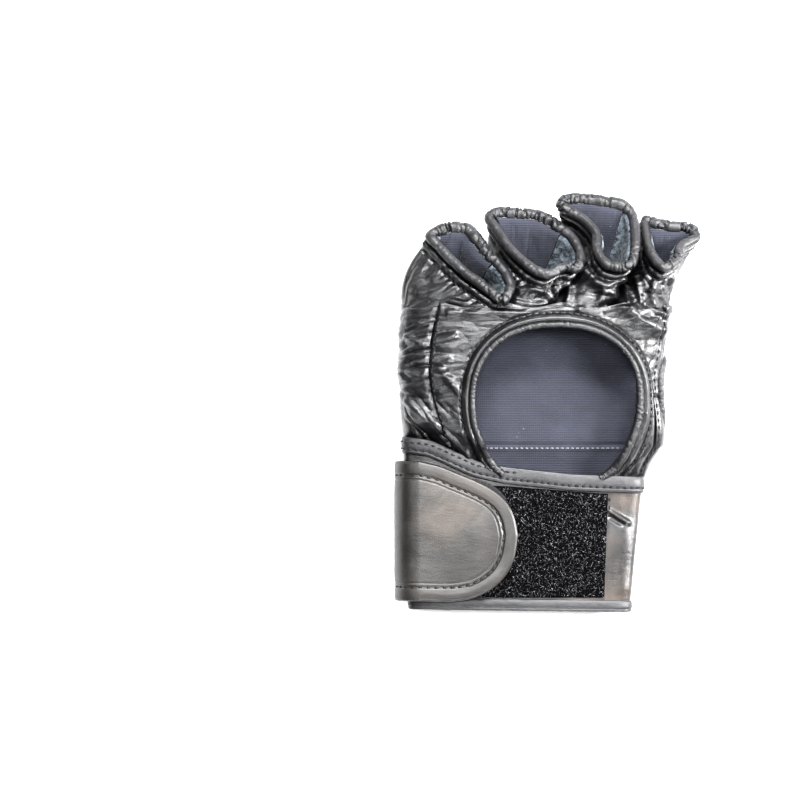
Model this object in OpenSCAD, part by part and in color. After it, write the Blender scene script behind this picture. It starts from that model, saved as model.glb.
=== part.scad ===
// Open-palm grappling glove for the right hand, lying on its padded back with the palm up.
// +X is the thumb side, +Y points to the fingertips and +Z goes from the back of the hand to the palm.

/* [Hand] */
// Height of the finger end of the empty hand, over the knuckles
hand_height = 34.5; // [33.5:0.5:35.5]
// Thickness of the glove leather
leather = 1.3; // [1:0.1:1.4]
// Thickness of the padding over the back of the hand
hand_foam = 8; // [6:0.5:9]
// Thickness of the padding over the knuckles
knuckle_foam = 10.5; // [9:0.5:11]
// Thickness of the knit lining
knit = 1; // [0.8:0.1:1.1]

/* [Palm opening] */
// Half of the opening's width across the palm
palm_hole_w = 37.2; // [35:0.2:38]
// Half of the opening's length towards the fingers
palm_hole_h = 33.8; // [32:0.2:34.2]
// Thickness of the rolled binding around it
palm_roll = 3.6; // [3:0.2:4]

/* [Thumb opening] */
// Half of the opening's length along the side of the hand
thumb_hole_l = 18; // [16:0.5:20]
// Thickness of its rolled binding
thumb_roll = 3.2; // [2.8:0.2:3.6]

/* [Finger loops] */
// Thickness of the rolled binding on the finger openings
finger_roll = 4.6; // [4:0.2:5]
// Thickness of the padding on the back of each finger
finger_foam = 6; // [5:0.5:6.5]

/* [Cuff and strap] */
// Height of the empty cuff, without the strap
cuff_height = 16.4; // [16:0.1:16.6]
// Thickness of the padded cuff wall
cuff_wall = 2.4; // [2:0.1:2.6]
// Width of the closure strap
strap_w = 63; // [60:0.5:63.5]
// Thickness of the strap
strap_t = 2.55; // [2.4:0.05:2.6]
// Thickness of each half of the hook and loop closure
tape_t = 1.4; // [1.2:0.1:1.5]

/* [Hidden] */

leather_col = "#26262a";
binding_col = "#3a3a40";
foam_col = "#7b7f86";
knit_col = "#1f2535";
suede_col = "#3d4654";
tape_col = "#0c0c0e";

// gap between layers that lie on each other
gap = 0.3;
// exponent of the hand's rounded-box section
hand_n = 3;
// how far the section's rounding would pass below the flat back
back_sink = 2;
// ends of the palm leather and of the back leather, short of the finger loops
palm_end = 42;
back_end = 44;
// where the finger loops start, and where their linings and pads start
loop_start = 45;
finger_lining_start = 51;
finger_pad_start = 47.5;
// half height of the band that joins the hand to the cuff
band_half = 3.6;

// outline of the flattened hand: Y, left X, right X, share of the full height
hand_table = [
    [-40, -66.5, 44, 0.70],
    [-30, -66, 47.5, 0.78],
    [-20, -66.5, 52.5, 0.87],
    [-5, -68.3, 53, 0.95],
    [12, -69.6, 52.3, 1],
    [30, -69.5, 55.2, 1],
    [46, -68.3, 60, 1]
];

// line of the joining band over the palm side: X, Y
band_table = [
    [-67, -20], [-55, -21.5], [-45, -26], [-34, -31], [-20, -34], [11, -37.3], [44, -38.6]
];

function lerp(a, b, u) = a + (b - a) * u;
function unit(v) = v / norm(v);
function spow(v, p) = sign(v) * pow(abs(v), p);
function column(table, y, k) = lookup(y, [for (row = table) [row[0], row[k]]]);

// --- the flattened hand as a tube: angle a runs from the thumb side over the palm ---
function hand_left(y) = column(hand_table, y, 1);
function hand_right(y) = column(hand_table, y, 2);
function hand_top(y) = hand_height * column(hand_table, y, 3);
function hand_cx(y) = (hand_left(y) + hand_right(y)) / 2;
function hand_w(y) = (hand_right(y) - hand_left(y)) / 2;
function hand_cz(y) = (hand_top(y) - back_sink) / 2;
function hand_h(y) = (hand_top(y) + back_sink) / 2;
function hand_point(a, y, inset) = [
    hand_cx(y) + (hand_w(y) - inset) * spow(cos(a), 2 / hand_n),
    y,
    max(inset, hand_cz(y) + (hand_h(y) - inset) * spow(sin(a), 2 / hand_n))
];
function hand_rise(x, y, inset) = (hand_h(y) - inset)
    * pow(max(0, 1 - pow(abs(x - hand_cx(y)) / (hand_w(y) - inset), hand_n)), 1 / hand_n);
function palm_z(x, y, inset) = hand_cz(y) + hand_rise(x, y, inset);
function back_z(x, y, inset) = max(inset, hand_cz(y) - hand_rise(x, y, inset));
function angle_at(x, y) =
    acos(max(-1, min(1, spow((x - hand_cx(y)) / hand_w(y), hand_n / 2))));

// lowest line of the hand leather over the joining band, on the palm side and on the back
function band_palm_y(x) = lookup(x, band_table);
function band_back_y(x) = lerp(-20, -38.6, (x + 67) / 111);

// seam between the palm leather and the side panel
function seam_x(y) = -55 + (y > 14 ? 0.0046 : 0.0084) * pow(y - 14, 2);

// --- closed solids from grids of points ---
function flat_list(rows) = [for (row = rows) for (p = row) p];
function quad(a, b, c, d) = [[a, b, c], [a, c, d]];
function skin_faces(rows, cols, start, wrap) = [
    for (j = [0:rows - 2]) for (i = [0:cols - (wrap ? 1 : 2)])
        let (k = (i + 1) % cols, r = start + j * cols)
            each quad(r + i, r + k, r + cols + k, r + cols + i)
];
function turned(faces) = [for (f = faces) [f[2], f[1], f[0]]];
function volume6(points, faces) =
    [for (f = faces) points[f[0]] * cross(points[f[1]], points[f[2]])] * [for (f = faces) 1];
function outward(points, faces) = volume6(points, faces) > 0 ? turned(faces) : faces;

// a sheet with an outer and an inner skin, each a list of rows of points
module sheet(outer, inner, wrap = false) {
    rows = len(outer);
    cols = len(outer[0]);
    total = rows * cols;
    points = concat(flat_list(outer), flat_list(inner));
    row_walls = [
        for (i = [0:cols - (wrap ? 1 : 2)])
            let (k = (i + 1) % cols, last = (rows - 1) * cols)
                each concat(
                    quad(i, total + i, total + k, k),
                    quad(last + i, last + k, total + last + k, total + last + i))
    ];
    end_walls = wrap ? [] : [
        for (j = [0:rows - 2])
            let (a = j * cols, b = a + cols)
                each concat(
                    quad(a, b, total + b, total + a),
                    quad(a + cols - 1, total + a + cols - 1, total + b + cols - 1, b + cols - 1))
    ];
    faces = concat(
        skin_faces(rows, cols, 0, wrap),
        turned(skin_faces(rows, cols, total, wrap)),
        row_walls, end_walls);
    polyhedron(points, outward(points, faces), convexity = 8);
}

// a rolled edge along a path, with an oval section of half sizes across and along the axis
module roll(path, axis, across, along, closed = true, sides = 8) {
    count = len(path);
    rings = [
        for (i = [0:count - 1])
            let (
                ahead = path[closed ? (i + 1) % count : min(i + 1, count - 1)],
                behind = path[closed ? (i + count - 1) % count : max(i - 1, 0)],
                side = unit(cross(ahead - behind, axis)),
                lift = unit(cross(side, ahead - behind)))
                [for (k = [0:sides - 1])
                    path[i] + side * across * cos(360 * k / sides) + lift * along * sin(360 * k / sides)]
    ];
    points = flat_list(closed ? concat(rings, [rings[0]]) : rings);
    body = closed
        ? [for (i = [0:count - 1]) for (k = [0:sides - 1])
            let (a = i * sides, b = ((i + 1) % count) * sides, m = (k + 1) % sides)
                each quad(a + k, a + m, b + m, b + k)]
        : skin_faces(count, sides, 0, true);
    last = (count - 1) * sides;
    caps = closed ? [] : [
        for (k = [1:sides - 2]) each [[0, k + 1, k], [last, last + k, last + k + 1]]
    ];
    used = closed ? [for (i = [0:count * sides - 1]) points[i]] : points;
    faces = concat(body, caps);
    polyhedron(used, outward(used, faces), convexity = 8);
}

// --- back of the hand ---
module back_cover() {
    cols = 20;
    rows = 8;
    function row(j, inset) = [
        for (i = [0:cols])
            let (
                a = lerp(192, 328, i / cols),
                start = band_back_y(hand_point(a, -28, 0)[0]) + band_half + gap,
                y = lerp(start, back_end, j / rows))
                hand_point(a, y, inset)
    ];
    color(leather_col)
        sheet([for (j = [0:rows]) row(j, 0)], [for (j = [0:rows]) row(j, leather)]);
}

// top of the padding at a point of the back
function foam_height(y) = lerp(hand_foam, knuckle_foam, max(0, min(1, (y - 8) / 16)));
function foam_top(x, y) = back_z(x, y, leather + gap) + 2
    + (foam_height(y) - 2) * pow(max(0, 1 - pow(abs(x - hand_cx(y)) / (0.86 * hand_w(y)), 4)), 0.5);

// padding between two lines across the hand
module foam(from, to, rows) {
    cols = 14;
    function spot(i, j) =
        let (y = lerp(from, to, j / rows), x = hand_cx(y) + hand_w(y) * lerp(-0.84, 0.84, i / cols))
            [x, y];
    top = [for (j = [0:rows]) [for (i = [0:cols])
        let (s = spot(i, j)) [s[0], s[1], foam_top(s[0], s[1])]]];
    base = [for (j = [0:rows]) [for (i = [0:cols])
        let (s = spot(i, j)) [s[0], s[1], back_z(s[0], s[1], leather + gap)]]];
    color(foam_col) sheet(top, base);
}

module hand_back_pad() {
    foam(-17, 19.5, 5);
}

module knuckle_pad() {
    foam(20, back_end - 0.5, 4);
}

module back_lining() {
    cols = 14;
    rows = 8;
    function spot(i, j, lift) =
        let (
            y = lerp(-27, back_end - 1, j / rows),
            x = hand_cx(y) + hand_w(y) * lerp(-0.85, 0.85, i / cols))
            [x, y, foam_top(x, y) + gap + lift];
    color(knit_col) sheet(
        [for (j = [0:rows]) [for (i = [0:cols]) spot(i, j, knit)]],
        [for (j = [0:rows]) [for (i = [0:cols]) spot(i, j, 0)]]);
}

// --- palm ---
palm_hole_x = 3.5;
palm_hole_n = 2.3;
palm_left_angle = 224;
palm_right_angle = -52;
palm_side_angle = 24;

function hole_edge(u, grow) =
    let (f = lerp(palm_left_angle, palm_right_angle, u))
        [palm_hole_x + (palm_hole_w + grow) * spow(cos(f), 2 / palm_hole_n),
            (palm_hole_h + grow) * spow(sin(f), 2 / palm_hole_n)];

// outer edge of the palm leather: up the side seam, across below the fingers, down the thumb side
function palm_right_x(y) = hand_point(palm_side_angle, y, 0)[0];
function palm_edge(u) =
    u < 0.27 ? let (y = lerp(-21.5, palm_end, u / 0.27)) [seam_x(y), y]
    : u < 0.7 ? [lerp(seam_x(palm_end), palm_right_x(palm_end), (u - 0.27) / 0.43), palm_end]
    : let (y = lerp(palm_end, -34, (u - 0.7) / 0.3)) [palm_right_x(y), y];

module palm_panel() {
    cols = 44;
    rows = 4;
    function row(j, inset) = [
        for (i = [0:cols])
            let (p = lerp(hole_edge(i / cols, palm_roll + 3 * gap), palm_edge(i / cols), j / rows))
                hand_point(angle_at(p[0], p[1]), p[1], inset)
    ];
    color(leather_col)
        sheet([for (j = [0:rows]) row(j, 0)], [for (j = [0:rows]) row(j, leather)]);
}

module palm_opening_binding() {
    steps = 40;
    path = [
        for (i = [0:steps])
            let (p = hole_edge(i / steps, palm_roll / 2))
                [p[0], p[1], palm_z(p[0], p[1], leather / 2)]
    ];
    color(binding_col) roll(path, [0, 0, 1], palm_roll / 2, palm_roll / 2, closed = false);
}

module side_panel() {
    cols = 8;
    rows = 9;
    function row(j, inset) = [
        for (i = [0:cols])
            let (
                guess = lerp(-21.5, palm_end, j / rows),
                a = lerp(angle_at(seam_x(guess) - 4 * gap, guess), 190, i / cols),
                start = band_palm_y(hand_point(a, -20, 0)[0]) + band_half + gap,
                y = lerp(start, palm_end, j / rows))
                hand_point(a, y, inset)
    ];
    color(leather_col)
        sheet([for (j = [0:rows]) row(j, 0)], [for (j = [0:rows]) row(j, leather)]);
}

// --- thumb side ---
thumb_y = 2;
thumb_a = -3;
thumb_span = 14;
thumb_margin = 6;
thumb_low_a = -30;
thumb_high_a = 18.8;

// half length of the thumb opening at an angle round the hand
function thumb_notch(a) =
    let (s = (a - thumb_a) / (thumb_span + thumb_margin))
        abs(s) < 1 ? (thumb_hole_l + 3) * sqrt(1 - s * s) : 0;

module thumb_panel(end, side) {
    cols = 18;
    rows = 6;
    function row(j, inset) = [
        for (i = [0:cols])
            let (
                a = lerp(thumb_low_a, thumb_high_a, i / cols),
                near = thumb_y + side * (thumb_notch(a) + gap / 2))
                hand_point(a, lerp(near, end, j / rows), inset)
    ];
    color(leather_col)
        sheet([for (j = [0:rows]) row(j, 0)], [for (j = [0:rows]) row(j, leather)]);
}

module thumb_upper_panel() {
    thumb_panel(palm_end, 1);
}

module thumb_lower_panel() {
    thumb_panel(-34.3, -1);
}

module thumb_binding() {
    steps = 28;
    path = [
        for (i = [0:steps - 1])
            let (f = 360 * i / steps)
                hand_point(thumb_a + thumb_span * cos(f), thumb_y + thumb_hole_l * sin(f), leather / 2)
    ];
    color(binding_col) roll(path, [1, 0, 0], thumb_roll / 2, thumb_roll / 2);
}

// --- cuff ---
cuff_n = 5;
cuff_low = strap_t + gap;
cuff_top = cuff_low + cuff_height;
cuff_end = -90;
function cuff_left(y) = lerp(-67, -64.6, (y + 24) / (cuff_end + 24));
function cuff_right(y) = lerp(44, 38.8, (y + 40) / (cuff_end + 40));
function cuff_point(a, y, inset) = [
    (cuff_left(y) + cuff_right(y)) / 2
        + ((cuff_right(y) - cuff_left(y)) / 2 - inset) * spow(cos(a), 2 / cuff_n),
    y,
    (cuff_low + cuff_top) / 2 + (cuff_height / 2 - inset) * spow(sin(a), 2 / cuff_n)
];
function band_y(x, palm_side) = palm_side > 0 ? band_palm_y(x) : band_back_y(x);

module cuff_tube(first, second, col) {
    cols = 40;
    rows = 3;
    function row(j, inset) = [
        for (i = [0:cols - 1])
            let (
                a = 360 * i / cols,
                x = cuff_point(a, -40, 0)[0],
                start = band_y(x, sin(a)) - band_half - gap,
                y = lerp(start, cuff_end, j / rows))
                cuff_point(a, y, inset)
    ];
    color(col) sheet(
        [for (j = [0:rows]) row(j, first)], [for (j = [0:rows]) row(j, second)], wrap = true);
}

module cuff_band() {
    cuff_tube(0, cuff_wall, leather_col);
}

module cuff_lining() {
    cuff_tube(cuff_wall + gap, cuff_wall + gap + knit, knit_col);
}

module cuff_top_binding() {
    steps = 48;
    path = [
        for (i = [0:steps - 1])
            let (
                a = 360 * i / steps,
                x = -11.5 + 55.2 * spow(cos(a), 2 / cuff_n),
                z = 12.6 + 7.9 * spow(sin(a), 2 / cuff_n))
                [x, band_y(x, sin(a)), z]
    ];
    color(binding_col) roll(path, [0, 1, 0], 1.2, band_half);
}

module cuff_bottom_binding() {
    steps = 40;
    path = [
        for (i = [0:steps - 1])
            let (a = 360 * i / steps, p = cuff_point(a, cuff_end, 1.2))
                [p[0], cuff_end - 3.2 - 1.4 * (p[0] + 65) / 104, p[2]]
    ];
    color(binding_col) roll(path, [0, 1, 0], 1.2, 2.6);
}

// --- closure ---
loop_z = cuff_top + gap / 2;
hook_z = loop_z + tape_t + gap;
tab_z = hook_z + tape_t + gap / 3;
tab_top = tab_z + strap_t;
wrap_r = tab_top / 2;
wrap_x = -58.75;
fold_gap = 1.9;
fold_r = 1.2;
strap_back_end = 8;
tip_fold_x = -42.2;
tip_x = -14;

strap_y = -60;
tip_start = tip_fold_x + fold_gap;

// half width of the strap's rounded free end at a distance along it
function tab_half(x) =
    let (s = (x - tip_start) / (tip_x - tip_start)) (strap_w / 2) * pow(max(0, 1 - pow(s, 2.6)), 0.5);

// outline of the free end, from the fold to the tip
module tab_outline(to, inset = 0) {
    steps = 16;
    xs = [for (i = [0:steps]) lerp(tip_start, to, sin(90 * i / steps))];
    polygon(concat(
        [for (x = xs) [x, max(0.2, tab_half(x) - inset)]],
        [for (i = [steps:-1:0]) [xs[i], -max(0.2, tab_half(xs[i]) - inset)]]));
}

// a quarter of a ring round the edge of the cuff, above or below its fold
module quarter_ring(inner, outer, above) {
    intersection() {
        difference() {
            circle(outer, $fn = 96);
            circle(inner, $fn = 96);
        }
        translate([-2 * outer, above ? fold_gap : -2 * outer])
            square([2 * outer, 2 * outer - fold_gap]);
    }
}

// stretches a side view of the strap over its width
module over_strap_width() {
    translate([wrap_x, strap_y + strap_w / 2, wrap_r])
        rotate([90, 0, 0])
            linear_extrude(strap_w)
                children();
}

// one layer of the strap's first length: round the edge of the cuff and over the palm side
module root_layer(inner, outer) {
    over_strap_width() {
        quarter_ring(inner, outer, above = true);
        translate([0, inner])
            square([tip_fold_x - fold_gap - wrap_x, outer - inner]);
    }
}

module loop_patch() {
    color(tape_col)
        translate([0, 0, loop_z])
            linear_extrude(tape_t)
                polygon([[-58, -41], [-36, -41.5], [27.4, -43], [25.6, -90.2], [-58, -90.2]]);
}

module strap_back() {
    color(leather_col)
        translate([wrap_x + 0.1, strap_y - strap_w / 2, 0])
            cube([strap_back_end - wrap_x, strap_w, strap_t]);
}

module strap_wrap() {
    color(leather_col) over_strap_width() quarter_ring(wrap_r - strap_t, wrap_r, above = false);
}

module strap_fold() {
    color(leather_col)
        over_strap_width()
            translate([strap_t / 2 - wrap_r, 0])
                circle(fold_r, $fn = 32);
}

module strap_root_cover() {
    color(leather_col) root_layer(wrap_r - strap_t / 2 + gap / 4, wrap_r);
}

module strap_root_backing() {
    color(knit_col) root_layer(wrap_r - strap_t, wrap_r - strap_t / 2 - gap / 4);
}

module strap_tip_fold() {
    color(leather_col)
        over_strap_width()
            translate([tip_fold_x - wrap_x, tab_top - strap_t / 2 - wrap_r])
                circle(fold_r, $fn = 32);
}

module strap_tip_cover() {
    color(leather_col)
        translate([0, strap_y, tab_top - strap_t / 2 + gap / 4])
            linear_extrude(strap_t / 2 - gap / 4)
                tab_outline(tip_x);
}

module strap_tip_backing() {
    color(knit_col)
        translate([0, strap_y, tab_z])
            linear_extrude(strap_t / 2 - gap / 4)
                tab_outline(tip_x);
}

module hook_patch() {
    color(tape_col)
        translate([0.5, strap_y, hook_z])
            linear_extrude(tape_t)
                tab_outline(tip_x - 6, inset = 7);
}

// --- finger loops ---
// base centre X, base half width, base top Z, opening centre, half width vector, palmward vector, taper
LITTLE = [-47.4, 15.5, 31, [-41, 65, 28.4], [16.8, -12, 9.5], [-4, -10, 9], 0];
RING = [-13, 12, 33, [-8.5, 73.5, 25.5], [16.5, -7, 3], [3.5, -14.5, 12], 0];
MIDDLE = [16.5, 11.5, 33, [27, 79.7, 25.5], [12.8, -1, 0], [5, -15.5, 12.5], 0.37];
INDEX = [43.6, 13.4, 32, [57.29, 72.5, 26], [10.5, -1.5, 0], [-2, -11.5, 11.5], 0.36];
loop_base_z = 3;
loop_n = 2.5;

function base_ring(f, t, inset, lift) =
    let (half = (f[2] - loop_base_z) / 2, s = spow(sin(t), 2 / loop_n))
        [f[0] + (f[1] - inset) * spow(cos(t), 2 / loop_n),
            loop_start,
            loop_base_z + half + (half - inset - (s < 0 ? 2 * lift : 0)) * s];
function rim_ring(f, t, inset, lift) =
    let (
        s = spow(sin(t), 2 / loop_n),
        wide = (norm(f[4]) - inset) / norm(f[4]),
        high = (norm(f[5]) - inset - (s < 0 ? 2 * lift : 0)) / norm(f[5]))
        f[3] + f[4] * wide * (1 - f[6] * s) * spow(cos(t), 2 / loop_n) + f[5] * high * s;
function loop_ring(f, t, s, inset, lift) =
    let (
        base = base_ring(f, t, inset, lift),
        rim = rim_ring(f, t, inset, lift),
        edge = rim + unit(base - rim) * (finger_roll / 2 + 4 * gap))
        lerp(base, edge, s);
// share along the loop at which it passes a line across the hand
function share_at(f, t, y) =
    let (reach = loop_ring(f, t, 1, 0, 0)[1] - loop_start) min(0.6, (y - loop_start) / reach);

module sleeve(f) {
    cols = 24;
    rows = 3;
    function row(j, inset) = [for (i = [0:cols - 1]) loop_ring(f, 360 * i / cols, j / rows, inset, 0)];
    color(leather_col) sheet(
        [for (j = [0:rows]) row(j, 0)], [for (j = [0:rows]) row(j, leather)], wrap = true);
}

module finger_lining(f) {
    cols = 24;
    rows = 2;
    function row(j, inset) = [
        for (i = [0:cols - 1])
            let (t = 360 * i / cols)
                loop_ring(f, t, lerp(share_at(f, t, finger_lining_start), 0.97, j / rows),
                    inset, finger_foam / 2)
    ];
    color(suede_col) sheet(
        [for (j = [0:rows]) row(j, leather + 4 * gap)],
        [for (j = [0:rows]) row(j, leather + 4 * gap + knit)], wrap = true);
}

module finger_pad(f) {
    cols = 8;
    rows = 3;
    function spot(i, j, inset, lift) =
        let (t = lerp(222, 318, i / cols))
            loop_ring(f, t, lerp(share_at(f, t, finger_pad_start), 0.93, j / rows), inset, lift);
    color(foam_col) sheet(
        [for (j = [0:rows]) [for (i = [0:cols]) spot(i, j, leather + gap, 0)]],
        [for (j = [0:rows]) [for (i = [0:cols]) spot(i, j, leather, finger_foam / 2)]]);
}

module rim_binding(f) {
    steps = 30;
    path = [for (i = [0:steps - 1]) rim_ring(f, 360 * i / steps, leather / 2, 0)];
    color(binding_col)
        roll(path, cross(f[4], f[5]), finger_roll / 2, finger_roll / 2);
}

module little_sleeve() { sleeve(LITTLE); }
module little_lining() { finger_lining(LITTLE); }
module little_pad() { finger_pad(LITTLE); }
module little_binding() { rim_binding(LITTLE); }
module ring_sleeve() { sleeve(RING); }
module ring_lining() { finger_lining(RING); }
module ring_pad() { finger_pad(RING); }
module ring_binding() { rim_binding(RING); }
module middle_sleeve() { sleeve(MIDDLE); }
module middle_lining() { finger_lining(MIDDLE); }
module middle_pad() { finger_pad(MIDDLE); }
module middle_binding() { rim_binding(MIDDLE); }
module index_sleeve() { sleeve(INDEX); }
module index_lining() { finger_lining(INDEX); }
module index_pad() { finger_pad(INDEX); }
module index_binding() { rim_binding(INDEX); }

back_cover();
hand_back_pad();
knuckle_pad();
back_lining();
palm_panel();
palm_opening_binding();
side_panel();
thumb_upper_panel();
thumb_lower_panel();
thumb_binding();
cuff_top_binding();
cuff_band();
cuff_lining();
cuff_bottom_binding();
loop_patch();
strap_back();
strap_wrap();
strap_fold();
strap_root_cover();
strap_root_backing();
strap_tip_fold();
strap_tip_cover();
strap_tip_backing();
hook_patch();
little_sleeve();
little_lining();
little_pad();
little_binding();
ring_sleeve();
ring_lining();
ring_pad();
ring_binding();
middle_sleeve();
middle_lining();
middle_pad();
middle_binding();
index_sleeve();
index_lining();
index_pad();
index_binding();
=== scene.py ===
import math

import bpy
import numpy as np
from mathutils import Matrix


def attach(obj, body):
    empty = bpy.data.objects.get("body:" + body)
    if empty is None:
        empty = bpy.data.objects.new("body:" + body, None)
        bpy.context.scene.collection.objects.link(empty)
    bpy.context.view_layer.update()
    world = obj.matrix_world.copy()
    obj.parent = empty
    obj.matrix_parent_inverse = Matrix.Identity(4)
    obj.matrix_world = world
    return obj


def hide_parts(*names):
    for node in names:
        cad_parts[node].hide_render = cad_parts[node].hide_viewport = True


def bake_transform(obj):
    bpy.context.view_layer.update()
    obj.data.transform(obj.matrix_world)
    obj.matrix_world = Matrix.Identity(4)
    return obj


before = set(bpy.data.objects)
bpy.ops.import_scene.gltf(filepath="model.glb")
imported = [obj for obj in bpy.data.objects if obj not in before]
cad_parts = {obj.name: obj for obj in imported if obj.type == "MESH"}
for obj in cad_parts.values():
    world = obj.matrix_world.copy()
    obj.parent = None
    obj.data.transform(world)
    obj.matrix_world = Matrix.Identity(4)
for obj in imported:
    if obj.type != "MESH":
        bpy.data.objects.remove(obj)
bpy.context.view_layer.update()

bl_info = {
    "name": "Open-palm grappling glove",
    "version": (1, 0, 0),
    "blender": (4, 5, 0),
    "location": "View3D > Sidebar > Glove",
    "description": "Builds the leather, linings, padding, bindings and closure of a grappling glove",
    "category": "Object",
}

MM = 0.001


# ---------------------------------------------------------------- settings
def size_setting(name, text, default, low, high):
    return bpy.props.FloatProperty(name=name, description=text, default=default, min=low, max=high)


def colour_setting(name, text, *default):
    return bpy.props.FloatVectorProperty(
        name=name, description=text, subtype="COLOR", size=3, default=default, min=0, max=1)


class GLOVE_PG_sizes(bpy.types.PropertyGroup):
    """Sizes that a maker would change, in millimetres."""

    leather: size_setting("Leather", "Thickness of the glove leather", 1.2, 0.8, 1.6)
    finger_roll: size_setting("Finger roll", "Thickness of the binding on the finger loops", 4.7, 3.5, 5.5)
    palm_roll: size_setting("Palm roll", "Thickness of the binding round the palm opening", 3.0, 2.0, 4.0)
    thumb_roll: size_setting("Thumb roll", "Thickness of the binding round the thumb opening", 3.4, 2.5, 4.0)
    stitch: size_setting("Stitch", "Distance from one stitch to the next", 3.3, 2.5, 4.5)
    thread: size_setting("Thread", "Thickness of the sewing thread", 0.62, 0.3, 0.9)
    creases: size_setting("Creases", "Strength of the creases in the leather", 1.0, 0.0, 1.6)
    pile: size_setting("Pile", "Height of the loops of the closure field", 1.1, 0.5, 1.8)


class GLOVE_PG_colours(bpy.types.PropertyGroup):
    """Base colours of the materials."""

    leather: colour_setting("Leather", "Glove leather", 0.012, 0.012, 0.013)
    binding: colour_setting("Binding", "Binding leather", 0.022, 0.022, 0.024)
    strap: colour_setting("Strap", "Strap leather", 0.022, 0.020, 0.019)
    knit: colour_setting("Knit", "Knit lining", 0.048, 0.050, 0.062)
    suede: colour_setting("Suede", "Suede lining of the finger loops", 0.074, 0.084, 0.094)
    pile: colour_setting("Pile", "Looped closure field", 0.010, 0.010, 0.011)


def sizes():
    return bpy.context.scene.glove_sizes


def colours():
    return bpy.context.scene.glove_colours


# ---------------------------------------------------------------- small maths
def spow(v, p):
    return np.sign(v) * np.abs(v) ** p


def lerp(a, b, u):
    return a + (b - a) * u


def smooth(x, a, b):
    t = np.clip((x - a) / (b - a), 0, 1)
    return t * t * (3 - 2 * t)


def unit(v):
    return v / np.maximum(np.linalg.norm(v, axis=-1, keepdims=True), 1e-9)


def noise(p, seed=0):
    """Smooth gradient noise at an array of points, from about -1 to 1."""
    p = np.asarray(p, float)
    cell = np.floor(p).astype(np.int64)
    f = p - cell
    w = f * f * f * (f * (f * 6 - 15) + 10)
    total = np.zeros(p.shape[:-1])
    for corner in range(8):
        o = np.array([corner & 1, corner >> 1 & 1, corner >> 2 & 1])
        c = cell + o
        h = c[..., 0] * 374761393 + c[..., 1] * 668265263 + c[..., 2] * 1440662683 + seed * 1274126177
        h = ((h & 0xFFFFFFFF) ^ ((h & 0xFFFFFFFF) >> 13)) * 1274126177 & 0xFFFFFFFF
        h = h ^ (h >> 16)
        turn = (h & 0xFFFF) / 65536 * 2 * math.pi
        rise = (h >> 16) / 32768 - 1
        flat = np.sqrt(np.maximum(0, 1 - rise * rise))
        d = f - o
        dot = flat * np.cos(turn) * d[..., 0] + flat * np.sin(turn) * d[..., 1] + rise * d[..., 2]
        total += np.prod(np.where(o, w, 1 - w), axis=-1) * dot
    return total * 1.7


def puffs(p, along, long, short, seed, bend=0.42):
    """Rounded ridges with sharp valleys between them, drawn out along a direction in degrees."""
    c, s = math.cos(math.radians(along)), math.sin(math.radians(along))
    q = np.stack([
        (p[..., 0] * c + p[..., 1] * s) / long,
        (p[..., 1] * c - p[..., 0] * s) / short,
        p[..., 2] / (short * 2.5)], -1)
    q = q + bend * np.stack([noise(q * 0.8, seed + 11), noise(q * 0.8, seed + 12), 0 * q[..., 0]], -1)
    return np.minimum(1, np.abs(noise(q, seed)) * 2.3) ** 0.8


def spline(points, count, closed=True):
    """Points along a smooth curve, evenly spread between each pair of the given points."""
    p = np.array(points, float)
    n = len(p)
    u = np.arange(count) * n / count if closed else np.linspace(0, n - 1, count)
    i = np.minimum(np.floor(u).astype(int), n - (1 if closed else 2))
    t = (u - i)[:, None]
    pick = (lambda k: p[k % n]) if closed else (lambda k: p[np.clip(k, 0, n - 1)])
    a, b, c, d = pick(i - 1), pick(i), pick(i + 1), pick(i + 2)
    return b + 0.5 * t * (c - a) + t * t * (a - 2.5 * b + 2 * c - 0.5 * d) \
        + t ** 3 * (1.5 * b - 0.5 * a - 1.5 * c + 0.5 * d)


def off_line(x, y, line):
    """Squared distance of points from a line drawn in X and Y."""
    best = np.full(x.shape, 1e9)
    for a, b in zip(line[:-1], line[1:]):
        d = b - a
        t = np.clip(((x - a[0]) * d[0] + (y - a[1]) * d[1]) / (d @ d), 0, 1)
        best = np.minimum(best, (x - a[0] - t * d[0]) ** 2 + (y - a[1] - t * d[1]) ** 2)
    return best


def net(cols, rows):
    """0 to 1 across the columns, and 0 to 1 down the rows."""
    return np.linspace(0, 1, cols)[None, :], np.linspace(0, 1, rows)[:, None]


def relax(line, times):
    """A closed line smoothed by averaging each point with its neighbours."""
    for _ in range(times):
        line = (np.roll(line, 1, axis=0) + line + np.roll(line, -1, axis=0)) / 3
    return line


def run_length(line, closed=False):
    """Distance along a line at each of its points, and its whole length."""
    nxt = np.roll(line, -1, axis=0) if closed else line[1:]
    steps = np.linalg.norm(nxt - line[:len(nxt)], axis=1)
    return np.concatenate([[0], np.cumsum(steps)[:len(line) - 1]]), steps.sum()


# ---------------------------------------------------------------- meshes
def add_piece(name, shape, body, material, replaces=(), flat=0):
    """A smooth-shaded mesh in millimetres, riding on a body.

    shape is (points, groups of faces); the last `flat` faces stay flat-shaded. A piece may give body as
    (first, second, start, end) with the two points in millimetres; such a piece rides on no body, with its
    transform baked, and these four are not used.
    """
    points, groups = shape
    faces = [f for group in groups for f in group.tolist()]
    mesh = bpy.data.meshes.new(name)
    mesh.from_pydata((points * MM).tolist(), [], faces)
    mesh.polygons.foreach_set("use_smooth", [k < len(faces) - flat for k in range(len(faces))])
    mesh.materials.append(material)
    piece = bpy.data.objects.new(name, mesh)
    bpy.context.collection.objects.link(piece)
    if isinstance(body, str):
        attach(piece, body)
    elif body:
        first, second, start, end = body
        [c * MM for c in start]
        [c * MM for c in end]
        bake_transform(piece)
    if replaces:
        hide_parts(*replaces)
    return piece


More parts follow.
